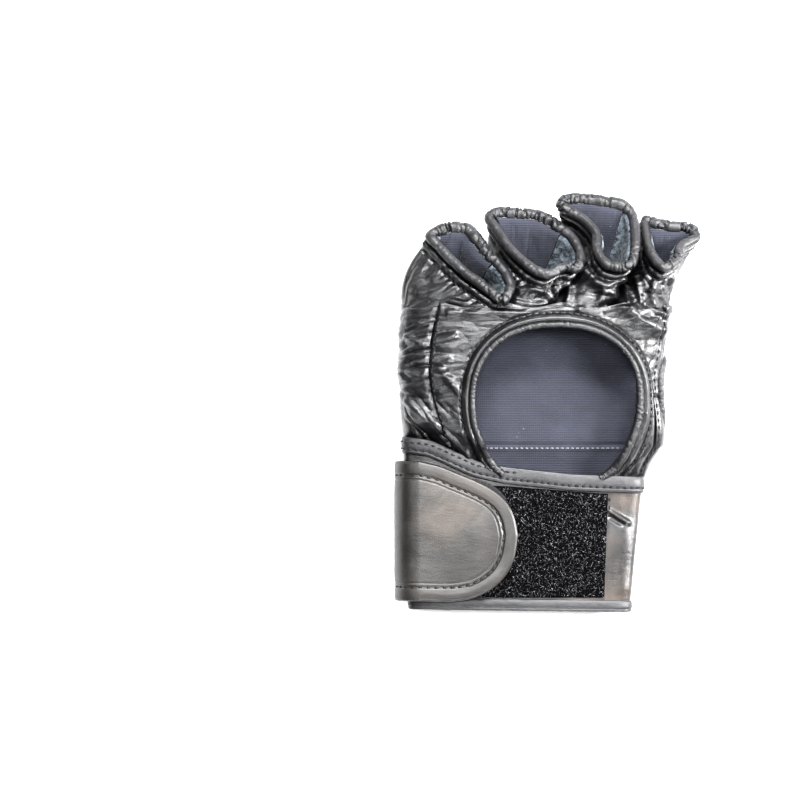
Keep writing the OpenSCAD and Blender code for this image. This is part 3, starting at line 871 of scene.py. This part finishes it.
# ---------------------------------------------------------------- linings and padding of the hand
def foam_top(x, y):
    cx, w, _, _ = hand_section(y)
    thick = lerp(8.0, 10.5, np.clip((y - 8) / 16, 0, 1))
    dome = np.maximum(0, 1 - (np.abs(x - cx) / (0.86 * w)) ** 4) ** 0.5
    return back_z(x, y, 1.6) + 2 + (thick - 2) * dome


def pad_grid(y0, y1, cols, rows):
    v = np.linspace(0, 1, rows)[:, None]
    y = lerp(y0, y1, v) + np.zeros((1, cols))
    cx, w, _, _ = hand_section(y)
    return cx + w * np.linspace(-0.84, 0.84, cols)[None, :], y


def build_hand_pads():
    for name, y0, y1, node in (("hand_padding", -17, 19.4, "hand_back_pad"),
                               ("knuckle_padding", 20.2, 43.5, "knuckle_pad")):
        x, y = pad_grid(y0, y1, 60, 30)
        edge = np.minimum(np.minimum(y - y0, y1 - y), 3) / 3
        base = back_z(x, y, 1.6) + 0.1
        top = lerp(base + 1.2, foam_top(x, y) - 0.15, np.sqrt(np.clip(edge, 0, 1)))
        pad = add_piece(
            name, shell(np.stack([x, y, top], -1), np.stack([x, y, base], -1)), "glove",
            material("foam"), [node])


def build_hand_lining():
    x, y = pad_grid(-44, 47, 180, 230)
    x = np.clip(x, -60, 44)
    z = foam_top(x, y) + 0.5
    low = 1 - smooth(y, -40, -16)
    z = lerp(z, 7.6 + 0 * z, low * smooth(np.abs(x + 9), 60, 40))
    p = np.stack([x, y, z], -1)
    slack = 0.5 * noise(p * [0.05, 0.035, 0], 61) + 0.25 * noise(p * [0.11, 0.16, 0], 62)
    seam = 0.45 * np.exp(-((y + 22.2) / 0.9) ** 2) - 0.9 * np.exp(-((y + 20.0) / 0.9) ** 2)
    top = p + np.stack([0 * z, 0 * z, slack + seam], -1)
    lining = add_piece(
        "hand_lining", shell(top, top - [0, 0, LINING_T]), "glove", material("knit"),
        ["back_lining"])
    k = int(np.argmin(np.abs(y[:, 0] + 21.8)))
    up = np.zeros((180, 3)) + [0, 0, 1]
    return [stitch_row(top[k, 15:-15], up[15:-15], pitch=2.3, share=0.8, lift=0.1)]


# ---------------------------------------------------------------- finger loops
# Each opening's outline from above, then its edge's Y and Z at both ends, then the X range of its base.
LOOPS = {
    "little": ([(-15.5, 53), (-18.2, 46.5), (-22.4, 43.6), (-27, 47.5), (-33, 52.3), (-39.2, 56.7),
                (-45.5, 62.5), (-52, 69.5), (-57, 75.5), (-55, 79.5), (-50, 82.2), (-44.8, 83.4),
                (-36.4, 82.2), (-32, 78), (-25.7, 69.3), (-18.7, 61.4)], (43, 40.5, 83, 17), (-67.4, -31)),
    "ring": ([(16.8, 68), (15.3, 61), (11.5, 58.6), (7.3, 59.8), (0, 55.8), (-8, 58.4), (-14.3, 63.4),
              (-20, 69.3), (-25, 77), (-29.6, 84), (-27.5, 88.8), (-20.5, 90), (-12, 89.6), (-3.3, 88.5),
              (5.5, 83.5), (13, 76.5)], (56, 38.5, 90, 14), (-31, -1)),
    "middle": ([(42.3, 78), (41.8, 70), (40.3, 63), (36.5, 60), (31, 59.2), (25.5, 60.8), (21.5, 65),
                (19.3, 70.5), (19.8, 76.5), (13.5, 83.5), (4.5, 88.5), (5.5, 95), (15, 96.6), (27, 95.2),
                (35.5, 93.5), (41, 87)], (59, 38, 96, 13.5), (-1, 29)),
    "index": ([(62.6, 70), (61.8, 66), (59, 62.6), (55, 59.8), (51.6, 59.3), (48, 62), (45.3, 66),
               (43.3, 71), (42.5, 77), (42.3, 83), (44.5, 86.3), (50, 85), (57, 83.5), (64.4, 82.9),
               (70, 79.3), (69.5, 73.5)], (59, 38, 86, 15), (29, 55.6)),
}
PARTS = 288

# How far a lining is set in towards the middle of its loop; the rest is straight in from the leather.
LINING_AIM = {"little": 0.3, "ring": 0.3, "middle": 0.3, "index": 0.7}


def rim_line(name, grow=0.0):
    """Centre line of an opening's rolled edge."""
    outline, (y0, z0, y1, z1), _ = LOOPS[name]
    line = relax(spline(outline, PARTS), 6)
    ahead = unit(np.roll(line, -1, axis=0) - np.roll(line, 1, axis=0))
    inward = np.stack([-ahead[:, 1], ahead[:, 0]], -1)
    if ((line - line.mean(axis=0)) * inward).sum() > 0:
        inward = -inward
    line = relax(line + inward * (sizes().finger_roll / 2 - grow), 10)
    return np.column_stack([line, z0 + (line[:, 1] - y0) * (z1 - z0) / (y1 - y0)])


def sleeve_grid(name, rows):
    """The leather of a finger loop, from inside the hand to its rolled edge."""
    left, right = LOOPS[name][2]
    t = np.arange(PARTS) * 2 * math.pi / PARTS
    c, s = spow(np.cos(t), 0.72), spow(np.sin(t), 0.72)
    x = (left + right) / 2 + (right - left) / 2 * c
    y = 39.5 - 3.0 * s
    low, high = back_z(x, y) + 1.8, palm_z(x, y) - 1.7
    z = np.clip((low.min() + high.max()) / 2 + (high.max() - low.min()) / 2 * s, low, high)
    base, rim = np.stack([x, y, z], -1), rim_line(name)
    reach = np.linalg.norm(rim - base, axis=-1)[None, :, None]
    v = np.linspace(0, 1, rows)[:, None, None]
    swell = smooth(-np.cos(t), 0.1, 0.9) * smooth(-np.sin(t), -0.7, 0.1) * (name == "little")
    go = np.stack([-0.35 * swell, 0.9 + 0.5 * swell, 0.05 + 0 * t], -1)
    arrive = np.array([0, 0.5, 0.5]) + swell[:, None] * np.array([0.5, 0.1, 0.2])
    h1, h2 = 2 * v ** 3 - 3 * v ** 2 + 1, v ** 3 - 2 * v ** 2 + v
    h3, h4 = -2 * v ** 3 + 3 * v ** 2, v ** 3 - v ** 2
    return h1 * base + h2 * reach * go + h3 * rim + h4 * reach * arrive, t


def loop_skin(grid):
    n = normals(grid, wrap=True)
    away = grid - grid.mean(axis=1, keepdims=True)
    return n if (away * n).sum() > 0 else -n


def build_loop(name, seed):
    finger = name + "_loop"
    start, end = (36.0, 43.0) if name == "little" else (38.0, 50.0)
    bend = ("glove", finger, (0, start, 20), (0, end, 20))
    rows = 84
    grid, t = sleeve_grid(name, rows)
    n = loop_skin(grid)
    v = np.linspace(0, 1, rows)[:, None]
    to_rim = np.linalg.norm(grid - grid[-1:], axis=-1)
    along = run_length(grid[-1], closed=True)[0][None, :]
    palmar = smooth(np.sin(t), -0.2, 0.5)[None, :]
    gather = noise(np.stack([along / 3.2 + 0 * v, to_rim / 14, 0 * v + seed + 0 * along], -1), seed)
    height = relief(grid) * (0.45 + 0.55 * palmar) * smooth(v, 0, 0.12)
    height = height * smooth(to_rim, 5, 11) + 0.9 * gather * np.exp(-((to_rim - 9) / 5) ** 2) * palmar
    room = 0.25 + 0.75 * smooth(to_rim[:1], 10, 26)
    dents = np.minimum(height, 0)
    height = height + room * (1.0 * np.exp(-((to_rim - 5.0) / 1.5) ** 2)
                              - 1.0 * np.exp(-((to_rim - 2.7) / 0.7) ** 2)
                              - 0.8 * np.exp(-((to_rim - 7.6) / 0.8) ** 2))
    shape, outer = leather_shell(grid, n, height, wrap=True)
    add_piece(name + "_leather", shape, bend, material("leather"), [name + "_sleeve"])

    dorsal = smooth(-np.sin(t), 0.35, 0.85)[None, :]
    inset = 2.1 + 4.0 * dorsal * smooth(v, 0.02, 0.2) * (1 - 0.55 * smooth(v, 0.8, 1))
    wobble = 0.4 * noise(grid * 0.13, seed + 4) + 0.3 * noise(grid * [0.5, 0.12, 0.12], seed + 5)
    inset = inset + (0.9 + 0.7 * room) * (1 - smooth(to_rim, 0, 6)) * smooth(to_rim, 0, 2) \
        + 0.9 * smooth(to_rim, 0, 6) - 0.75 * dents
    inset = inset + wobble * smooth(v, 0, 0.1) * (1 - smooth(v, 0.9, 1))
    centre = grid.mean(axis=1, keepdims=True) - grid
    share = LINING_AIM[name]
    aim = unit(unit(centre) * share - n * (1 - share))
    square = np.maximum(0.6, -(aim * n).sum(axis=-1))
    inner = grid + aim * np.minimum(inset / square, 0.75 * np.linalg.norm(centre, axis=-1))[..., None]
    for part, first, last, slot, node in (
            ("knit", 214, 326, "knit_lining", name + "_lining"), ("suede", -34, 214, "suede_lining", None)):
        k = np.arange(int(first / 360 * PARTS), int(last / 360 * PARTS) + 1) % PARTS
        rows_used = slice(14, rows, 3)
        skin = inner[rows_used][:, k]
        lining = add_piece(
            "%s_%s_lining" % (name, part), shell(skin, skin + LINING_T * n[rows_used][:, k]), bend,
            material(part), [node] if node else ())
        name + "_padding" if part == "knit" else name + "_leather"

    k = np.arange(int(222 / 360 * PARTS), int(318 / 360 * PARTS) + 1)
    used = slice(14, rows - 8)
    below = grid[used][:, k] - 1.75 * n[used][:, k]
    above = inner[used][:, k] + 1.1 * n[used][:, k]
    pad = add_piece(name + "_padding", shell(below, above), bend, material("foam"), [name + "_pad"])

    wide = smooth(-np.sin(t), 0.35, 0.8)[:, None]
    line = rim_line(name)
    line = line + 0.75 * wide * unit(line.mean(axis=0) - line)
    plane = unit(np.cross(line[72] - line[216], line[0] - line[144]))
    plane = plane if plane[2] > 0 else -plane
    strength = 0.08 + 0.42 * wide + 0.32 * smooth(np.cos(t - 0.9), 0.7, 0.95)[:, None]
    radius = sizes().finger_roll / 2 * (1 + 0.32 * wide)
    shape = gathered_roll(line, plane, radius, True, seed, strength, 1.0, 26, 2.5)
    add_piece(name + "_roll", shape, finger, material("binding"), [name + "_binding"])
    inside = rim_line(name, grow=-2.1) - plane * 0.9
    middle = inside.mean(axis=0)
    top = (np.arange(int(0.60 * PARTS), int(0.93 * PARTS))) % PARTS
    row = stitch_row(inside[top], unit(middle - inside[top]), pitch=2.5, lift=0.15)
    add_piece(name + "_inner_stitches", row, finger, material("pale_thread"))
    near, k = np.argmin(np.abs(to_rim - 7.4), axis=0), np.arange(PARTS)
    row = stitch_row(outer[near, k], n[near, k], closed=True, pitch=3.2, lift=0.2)
    add_piece(name + "_rim_stitches", row, bend, material("thread"))


# ---------------------------------------------------------------- cuff
CUFF_N, CUFF_LOW, CUFF_TOP, CUFF_END = 5.0, 2.85, 19.25, -90.0
CUFF_MIDDLE = (-11.5, 11)
BAND_SEAM = 0.42


def cuff_point(a, y, inset):
    left = lerp(-67, -64.6, (y + 24) / (CUFF_END + 24))
    right = lerp(44, 38.8, (y + 40) / (CUFF_END + 40))
    c, s = np.cos(np.radians(a)), np.sin(np.radians(a))
    return np.stack([
        (left + right) / 2 + ((right - left) / 2 - inset) * spow(c, 2 / CUFF_N), y + 0 * c,
        (CUFF_LOW + CUFF_TOP) / 2 + ((CUFF_TOP - CUFF_LOW) / 2 - inset) * spow(s, 2 / CUFF_N)], -1)


def cuff_angles(count):
    """Angles round the cuff, evenly spread along its outline."""
    a = np.linspace(0, 360, 4001)
    line = cuff_point(a, -60 + 0 * a, 0)
    along, _ = run_length(line)
    return np.interp(np.arange(count) * along[-1] / count, along, a)


def cuff_grid(cols, rows, inset):
    a = cuff_angles(cols)[None, :]
    v = np.linspace(0, 1, rows)[:, None]
    start = band_y(cuff_point(a, -40 + 0 * a, 0)[..., 0], np.sin(np.radians(a)) > 0) - BAND_HALF + 1.2
    return cuff_point(a + 0 * v, lerp(start, CUFF_END - 3, v), inset)


def build_cuff():
    outer = cuff_grid(380, 120, 0.0)
    inner = cuff_grid(380, 120, 2.4)
    n = facing(outer, CUFF_MIDDLE, True)
    x, y = outer[..., 0], outer[..., 1]
    plain = smooth(x, 24, 30) * smooth(outer[..., 2], 12, 17)
    height = 0.25 * noise(outer * [0.05, 0.05, 0.02], 71) * (1 - plain) \
        + plain * 0.35 * noise(outer * [0.16, 0.05, 0.01], 72)
    height += plain * (1.1 * ridge(x, y, [(28, -50.5), (31, -52.5), (37, -56)], 1.2)
                       - 1.0 * ridge(x, y, [(29, -53.5), (32, -55.5), (34, -56.5)], 1.1)
                       + 0.4 * ridge(x, y, [(36, -60), (37, -72), (36, -86)], 3.5))
    height -= 0.2
    cuff = add_piece(
        "cuff_leather", shell(outer + n * height[..., None], inner, True), "glove",
        material("cuff"), ["cuff_band"])
    skin = cuff_grid(220, 50, 2.7)
    back = cuff_grid(220, 50, 3.6)
    lining = add_piece(
        "cuff_lining_knit", shell(skin, back, True), "glove", material("knit"), ["cuff_lining"])
    a = cuff_angles(560)
    b = cuff_point(a, CUFF_END + 0 * a, 1.0)
    line = np.column_stack([b[:, 0], -93.4 - 1.4 * (b[:, 0] + 65) / 104, b[:, 2]])
    bottom = flat_roll(line, 1.45, 2.8, 81)
    add_piece("cuff_bottom_roll", bottom[0], "glove", material("binding"),
              ["cuff_bottom_binding"])
    wide = -11.5 + 54.9 * spow(np.cos(np.radians(a)), 2 / CUFF_N)
    s = np.sin(np.radians(a))
    line = relax(np.column_stack([wide, band_y(wide, s > 0), 12.6 + 8.1 * spow(s, 2 / CUFF_N)]), 8)
    band = flat_roll(line, 1.5, BAND_HALF + 0.3, 82)
    add_piece("cuff_top_roll", band[0], "glove", material("binding"),
              ["cuff_top_binding"])
    on, up = band[1](-BAND_SEAM)
    rows = [stitch_row(on, up, closed=True, pitch=3.2, lift=0.32)]
    on, up = band[1](BAND_SEAM)
    part = (on[:, 0] < -14) & (on[:, 2] > 12)
    order = np.argsort(on[part][:, 0])
    rows.append(stitch_row(on[part][order], up[part][order], pitch=3.2, lift=0.25))
    y = np.linspace(-43.5, -51, 30)
    on = np.stack([28.3 + 0 * y, y, 0 * y + CUFF_TOP + 0.1], -1)
    rows.append(stitch_row(on, on * 0 + [0, 0, 1], pitch=2.6, lift=0.2))
    return rows


def flat_roll(line, thick, half, seed, sides=48):
    """A flat rolled band with gathered edges along a closed line, and a function that gives lines on it."""
    t = unit(np.roll(line, -1, axis=0) - np.roll(line, 1, axis=0))
    wide = np.zeros_like(line) + [0, 1, 0]
    out = unit(np.cross(wide, t))
    if ((line - line.mean(axis=0)) * out).sum() < 0:
        out = -out
    wide = np.cross(t, out)
    wide = wide * np.sign(wide[:, 1:2] + 1e-9)
    along, total = run_length(line, closed=True)

    def place(turn):
        c, s = np.cos(turn)[None, :], np.sin(turn)[None, :]
        a = along[:, None] + 0 * c
        pucker = noise(np.stack([a / 2.2, c * 1.4 + 0 * a, s + 0 * a], -1), seed) \
            * smooth(np.minimum(a, total - a), 0, 4)
        groove = -0.26 * np.exp(-((c + BAND_SEAM) / 0.16) ** 2) - 0.22 * np.exp(-((c + 0.82) / 0.06) ** 2)
        bulge = 0.12 * np.exp(-((np.abs(c) - 0.9) / 0.12) ** 2)
        r = 1 + 0.06 * pucker + groove + bulge
        return line[:, None] + half * spow(c, 0.75)[..., None] * wide[:, None] \
            + (thick * r * spow(s, 0.6))[..., None] * out[:, None]

    def on(edge):
        c = spow(np.array([edge]), 1 / 0.75)
        return place(np.arccos(np.clip(c, -1, 1)))[:, 0], out

    return tube(place(np.arange(sides) * 2 * math.pi / sides)), on


def build_loop_field():
    """The looped half of the closure: a base mat with fine nylon loops standing on it."""
    cols, rows = 120, 70
    u, v = net(cols, rows)
    x = lerp(-58, lerp(25.8, 27.6, v), u) + 0 * v
    top = np.interp(x, [-58, -34, -20, 11, 28], [-38, -38.5, -39.2, -41.6, -42.8])
    y = lerp(-90.6, top, v)
    p = np.stack([x, y, 0 * x], -1)
    z = 19.55 + 0.45 * noise(p * 0.55, 91) + 0.3 * noise(p * 0.22, 92)
    z = z - 0.5 * (1 - smooth(np.minimum(u * 86, (1 - u) * 86), 0, 1.2))
    add_piece(
        "loop_mat", shell(np.stack([x, y, z + 0.45], -1), np.stack([x, y, 0 * x + 19.35], -1)), "glove",
        material("pile_mat"), ["loop_patch"])
    rng = np.random.default_rng(7)
    count = 4600
    at_u, at_v = rng.random(count), rng.random(count)
    px = lerp(-57, lerp(25.4, 27.2, at_v), at_u)
    py = lerp(-90.2, np.interp(px, [-58, -34, -20, 11, 28], [-38.4, -38.9, -39.6, -42, -43.2]), at_v)
    turn = rng.random(count) * 2 * math.pi
    lean = rng.normal(0, 0.35, (count, 2))
    tall = sizes().pile * rng.uniform(0.5, 1.3, count)
    wide = rng.uniform(0.35, 1.0, count)
    w = np.linspace(0, math.pi, 6)
    path = np.stack([
        px[:, None] + wide[:, None] * np.cos(w) * np.cos(turn)[:, None] + lean[:, :1] * np.sin(w),
        py[:, None] + wide[:, None] * np.cos(w) * np.sin(turn)[:, None] + lean[:, 1:] * np.sin(w),
        19.75 + tall[:, None] * np.sin(w)], -1)
    side = np.stack([-np.sin(turn), np.cos(turn), 0 * turn], -1)[:, None]
    ahead = unit(np.gradient(path, axis=1))
    lift = unit(np.cross(np.broadcast_to(side, path.shape), ahead))
    ring = [(1, 0), (-0.5, 0.866), (-0.5, -0.866)]
    points = np.stack([path + 0.12 * (a * side + b * lift) for a, b in ring], 2)
    one = outward(points[0].reshape(-1, 3), grid_faces(6, 3, True))
    faces = (one[None] + (np.arange(count) * 18)[:, None, None]).reshape(-1, 4)
    add_piece("loop_fibres", (points.reshape(-1, 3), [faces]), "glove", material("pile"))


# ---------------------------------------------------------------- strap
# Centre and radius of the wrap, the strap's thickness, X of the split between the tab's two lengths, X of the
# strap's end under the wrist, and the width of its rolled edge.
WRAP_X, WRAP_R, STRAP_T, SPLIT_X = -58.75, 12.575, 2.5, -50.0
UNDER_X, ROLLED = 8.0, 1.6
STRAP_TURN = UNDER_X - WRAP_X
STRAP_COLS, SEAM_IN = 150, 6.5
TAB_TOP = [(-59.3, -27.6), (-50, -29.8), (-42.5, -32.9), (-34, -36.4), (-26.2, -40.4), (-20, -45.6),
           (-16, -52.6), (-14, -61.9)]
TAB_LOW = [(-59.3, -92.2), (-50, -92.4), (-42.5, -92.2), (-34, -90.6), (-26.2, -86.6), (-20, -80.8),
           (-15.8, -72.4), (-14, -61.9)]


def strap_ends(x):
    """Y of the strap's two long edges left of the split, at a distance along it."""
    top, low = spline(TAB_TOP, 200, False), spline(TAB_LOW, 200, False)
    return np.interp(x, top[:, 0], top[:, 1]), np.interp(x, low[:, 0], low[:, 1])


def strap_edge(along, y):
    """Distance from the strap's outline, with the strap laid out flat."""
    left = np.array([(at, 0) for at in np.arange(-130, -60, 1.5)])
    outline = np.concatenate([
        left + [0, TAB_LOW[0][1]], spline(TAB_LOW, 160, False), spline(TAB_TOP, 160, False),
        left + [0, TAB_TOP[0][1]]])
    best = np.full(np.broadcast(along, y).shape, 1e9)
    for a in outline:
        best = np.minimum(best, (along - a[0]) ** 2 + (y - a[1]) ** 2)
    return np.sqrt(best)


def strap_profile(edge):
    """Height of the strap's face by the distance from its edge: rolled edge, stitch line, soft middle."""
    f = np.clip(edge / ROLLED, 0, 1)
    rolled = np.sqrt(f * (2 - f)) - 1
    return rolled + 0.12 * np.exp(-((edge - 3.4) / 1.8) ** 2) \
        - 0.6 * np.exp(-((edge - SEAM_IN) / 0.55) ** 2) \
        - 0.3 * np.exp(-((edge - 8.4) / 0.35) ** 2) + 0.25 * smooth(edge, 7, 16)


def cushion(p):
    """Slow rise and fall of padded leather."""
    slow = 0.3 * noise(p * 0.045, 101) + 0.07 * noise(p * 0.12, 102)
    return slow + 0.04 * (puffs(p, 65, 20, 7, 103) - 0.6)


def strap_skins(grid, n, edge, height):
    """Outer and inner skin of the strap, thinner along its rolled edge."""
    thin = 0.5 * np.minimum(1, np.maximum(0, ROLLED - edge) / ROLLED)
    return grid + n * height[..., None], grid - n * (STRAP_T - thin)[..., None]


def across_strap():
    """0 to 1 across the strap, closer together at its edges."""
    v = (1 - np.cos(np.linspace(0, math.pi, STRAP_COLS)))[None, :] / 2
    return lerp(v, np.linspace(0, 1, STRAP_COLS)[None, :], 0.7)


def strap_length(s):
    """Point and outward direction of the strap's outside at a distance from its end under the wrist."""
    f = np.clip((s - STRAP_TURN) / WRAP_R, 0, math.pi)
    on_top = np.maximum(0, s - STRAP_TURN - math.pi * WRAP_R)
    x = np.where(s < STRAP_TURN, UNDER_X - s, WRAP_X - WRAP_R * np.sin(f) + on_top)
    z = np.where(s < STRAP_TURN, 0.0, WRAP_R - WRAP_R * np.cos(f))
    return x, z, -np.sin(f), -np.cos(f)


def strap_piece(name, s0, s1, rows, body, nodes, ends):
    """A length of the strap between two distances, with a rolled long edge on each side."""
    s = np.concatenate([np.linspace(s0, s1 - 0.02, rows - 1), [s1]])[:, None]
    v = across_strap()
    x, z, nx, nz = strap_length(s)
    along = WRAP_X + s - (STRAP_TURN + math.pi * WRAP_R)
    top, low = strap_ends(np.maximum(along, TAB_TOP[0][0]))
    y = lerp(low, top, v)
    edge = strap_edge(along + 0 * y, y)
    edge[:, [0, -1]] = 0
    if ends:
        edge = np.minimum(edge, s - s0 + 0 * y)
    grid = np.stack([x + 0 * y, y, z + 0 * y], -1)
    n = np.stack([nx + 0 * y, 0 * y, nz + 0 * y], -1)
    flat = smooth(z, 0.5, 6) if body == "glove" else 1.0
    height = strap_profile(edge) * (0.4 + 0.6 * flat) + cushion(grid) * smooth(edge, 0, 5) * flat - 0.25
    outer, inner = strap_skins(grid, n, edge, height)
    piece = add_piece(
        name, shell(outer, inner), body, material("strap"), nodes, flat=2 * STRAP_COLS - 2)
    rows_of, i = [], np.arange(rows)
    for far_half in (False, True):
        k = np.argmin(np.abs(edge - SEAM_IN) + 100 * ((v > 0.5) != far_half), axis=1)
        rows_of.append(stitch_row(outer[i, k], n[i, k], pitch=3.5, lift=0.2))
    return join_parts(rows_of)


def build_strap():
    low_end = STRAP_TURN + WRAP_R * 0.75
    top_end = STRAP_TURN + math.pi * WRAP_R + (SPLIT_X - WRAP_X)
    row = strap_piece(
        "strap_under_wrist", 0, low_end, 110, "glove", ["strap_back", "strap_wrap", "strap_fold"], True)
    add_piece("strap_under_stitches", row, "glove", material("thread"))
    bend = ("glove", "strap_root", (-70, -60, 6), (-70, -60, 19))
    row = strap_piece(
        "strap_root_leather", low_end, top_end, 110, bend, ["strap_root_cover", "strap_root_backing"], False)
    add_piece("strap_root_stitches", row, bend, material("thread"))
    bend = ("strap_root", "strap_tip", (-46, -60, 24), (-38, -60, 24))
    rows = 130
    top, low = spline(TAB_TOP[1:], 700, False), spline(TAB_LOW[1:], 700, False)
    q = 1 - (1 - np.linspace(0, 1, rows - 1)) ** 1.35
    q = np.concatenate([q[:1], [0.0003], q[1:]])
    lines = []
    for line in (low, top):
        along, total = run_length(line)
        lines.append(np.stack([np.interp(q * total * 0.992, along, line[:, k]) for k in (0, 1)], -1))
    xy = lerp(lines[0][:, None], lines[1][:, None], across_strap()[..., None])
    outline = np.concatenate([spline(TAB_LOW, 160, False), spline(TAB_TOP, 160, False)[::-1]])
    edge = strap_edge(xy[..., 0], xy[..., 1])
    edge[:, [0, -1]] = 0
    grid = np.concatenate([xy, np.full(xy.shape[:2] + (1,), 2 * WRAP_R)], -1)
    height = strap_profile(edge) + cushion(grid) * smooth(edge, 0, 5) - 0.25
    tip = add_piece(
        "strap_tip_leather", shell(*strap_skins(grid, np.array([0, 0, 1.0]), edge, height)), bend,
        material("strap"), ["strap_tip_cover", "strap_tip_backing", "strap_tip_fold"],
        flat=2 * STRAP_COLS - 2)
    inset = offset_line(outline, SEAM_IN)
    line = inset[inset[:, 0] > SPLIT_X + 0.2]
    up = np.zeros((len(line), 3)) + [0, 0, 1]
    line = np.column_stack([line, np.full(len(line), 2 * WRAP_R - 0.85)])
    add_piece("strap_tip_stitches", stitch_row(line, up, pitch=3.5, lift=0.25), bend,
              material("thread"))


def offset_line(line, by):
    """A line moved to its left, without the loops that a tight bend would make."""
    path = spline(line, len(line) * 2, False)
    t = unit(np.gradient(path, axis=0))
    moved = path + by * np.stack([-t[:, 1], t[:, 0]], -1)
    gap = np.array([np.min(np.hypot(*(path - m).T)) for m in moved])
    return moved[gap > by * 0.98]


# ---------------------------------------------------------------- stage
# Each light: name, place, width and length in metres, power in watts. All of them face the glove.
LIGHTS = [
    ("overhead", (-0.1, 0.25, 2.2), (0.42, 0.42), 21),
    ("key", (0.15, 0.85, 1.0), (0.7, 0.2), 24),
    ("left", (-0.75, 0.2, 1.0), (0.5, 0.5), 4),
    ("wrist", (0.1, -1.0, 0.95), (0.8, 0.2), 10),
    ("right", (0.95, 0.1, 0.7), (0.25, 0.8), 26),
]
CAMERA_PLACE, CAMERA_LENS = (-0.0686, 0.0007, 2.0), 192.7


def build_stage():
    bpy.ops.mesh.primitive_plane_add(size=6.0, location=(0, 0, -0.0004))
    floor = bpy.context.active_object
    floor.name = "studio_floor"
    floor.data.materials.append(material("floor"))
    world = bpy.data.worlds.new("studio")
    world.use_nodes = True
    world.node_tree.nodes["Background"].inputs["Color"].default_value = (1, 1, 1, 1)
    world.node_tree.nodes["Background"].inputs["Strength"].default_value = 0.1
    scene = bpy.context.scene
    scene.world = world
    scene.view_settings.view_transform = "Standard"
    scene.view_settings.look = "Very High Contrast"
    for name, place, size, power in LIGHTS:
        data = bpy.data.lights.new(name, "AREA")
        data.shape, data.size, data.size_y, data.energy = "RECTANGLE", size[0], size[1], power
        lamp = bpy.data.objects.new(name, data)
        bpy.context.collection.objects.link(lamp)
        lamp.location = place
        x, y, z = place
        lamp.rotation_euler = (math.atan2(math.hypot(x, y), z), 0, math.atan2(x, -y))
    data = bpy.data.cameras.new("camera")
    data.sensor_width, data.lens = 36, CAMERA_LENS
    camera = bpy.data.objects.new("camera", data)
    bpy.context.collection.objects.link(camera)
    camera.location = CAMERA_PLACE
    data.clip_end = 20
    scene.camera = camera


# ---------------------------------------------------------------- operators
class GLOVE_OT_hand(bpy.types.Operator):
    """Builds the leather of the palm, side, thumb and back, with their seams and bindings."""

    bl_idname = "glove.hand"
    bl_label = "Hand leather"

    def execute(self, context):
        rows = build_palm() + build_side() + build_thumb() + build_back()
        build_palm_binding()
        add_piece("hand_stitches", join_parts(rows), "glove", material("thread"))
        return {"FINISHED"}


class GLOVE_OT_lining(bpy.types.Operator):
    """Builds the padding of the back and the knit lining over it."""

    bl_idname = "glove.lining"
    bl_label = "Hand padding and lining"

    def execute(self, context):
        build_hand_pads()
        add_piece(
            "lining_stitches", join_parts(build_hand_lining()), "glove",
            material("pale_thread"))
        return {"FINISHED"}


class GLOVE_OT_fingers(bpy.types.Operator):
    """Builds the four finger loops: leather, linings, padding, rolled edge and stitches."""

    bl_idname = "glove.fingers"
    bl_label = "Finger loops"

    def execute(self, context):
        for k, name in enumerate(LOOPS):
            build_loop(name, 110 + 10 * k)
        return {"FINISHED"}


class GLOVE_OT_cuff(bpy.types.Operator):
    """Builds the padded cuff, its lining and the bands on its two edges."""

    bl_idname = "glove.cuff"
    bl_label = "Cuff"

    def execute(self, context):
        add_piece("cuff_stitches", join_parts(build_cuff()), "glove", material("thread"))
        return {"FINISHED"}


class GLOVE_OT_closure(bpy.types.Operator):
    """Builds the looped field on the cuff and finishes the hooked patch under the strap."""

    bl_idname = "glove.closure"
    bl_label = "Hook and loop closure"

    def execute(self, context):
        build_loop_field()
        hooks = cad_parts["hook_patch"]
        hooks.data.materials.clear()
        hooks.data.materials.append(material("hooks"))
        return {"FINISHED"}


class GLOVE_OT_strap(bpy.types.Operator):
    """Builds the padded leather strap that wraps the wrist."""

    bl_idname = "glove.strap"
    bl_label = "Strap"

    def execute(self, context):
        build_strap()
        return {"FINISHED"}


class GLOVE_OT_stage(bpy.types.Operator):
    """Sets up the floor, the soft lights and the camera."""

    bl_idname = "glove.stage"
    bl_label = "Stage"

    def execute(self, context):
        build_stage()
        return {"FINISHED"}


STEPS = [
    GLOVE_OT_hand, GLOVE_OT_lining, GLOVE_OT_fingers, GLOVE_OT_cuff, GLOVE_OT_closure, GLOVE_OT_strap,
    GLOVE_OT_stage]


class GLOVE_PT_panel(bpy.types.Panel):
    """Lists the steps that build the glove."""

    bl_label = "Grappling glove"
    bl_space_type = "VIEW_3D"
    bl_region_type = "UI"
    bl_category = "Glove"

    def draw(self, context):
        for settings in (context.scene.glove_sizes, context.scene.glove_colours):
            for key in settings.__annotations__:
                self.layout.prop(settings, key)
        for step in STEPS:
            self.layout.operator(step.bl_idname)


CLASSES = [GLOVE_PG_sizes, GLOVE_PG_colours, *STEPS, GLOVE_PT_panel]


def register():
    for cls in CLASSES:
        bpy.utils.register_class(cls)
    bpy.types.Scene.glove_sizes = bpy.props.PointerProperty(type=GLOVE_PG_sizes)
    bpy.types.Scene.glove_colours = bpy.props.PointerProperty(type=GLOVE_PG_colours)


def unregister():
    del bpy.types.Scene.glove_colours
    del bpy.types.Scene.glove_sizes
    for cls in reversed(CLASSES):
        bpy.utils.unregister_class(cls)


def main():
    register()
    for step in STEPS:
        group, name = step.bl_idname.split(".")
        getattr(getattr(bpy.ops, group), name)()


if __name__ == "__main__":
    main()
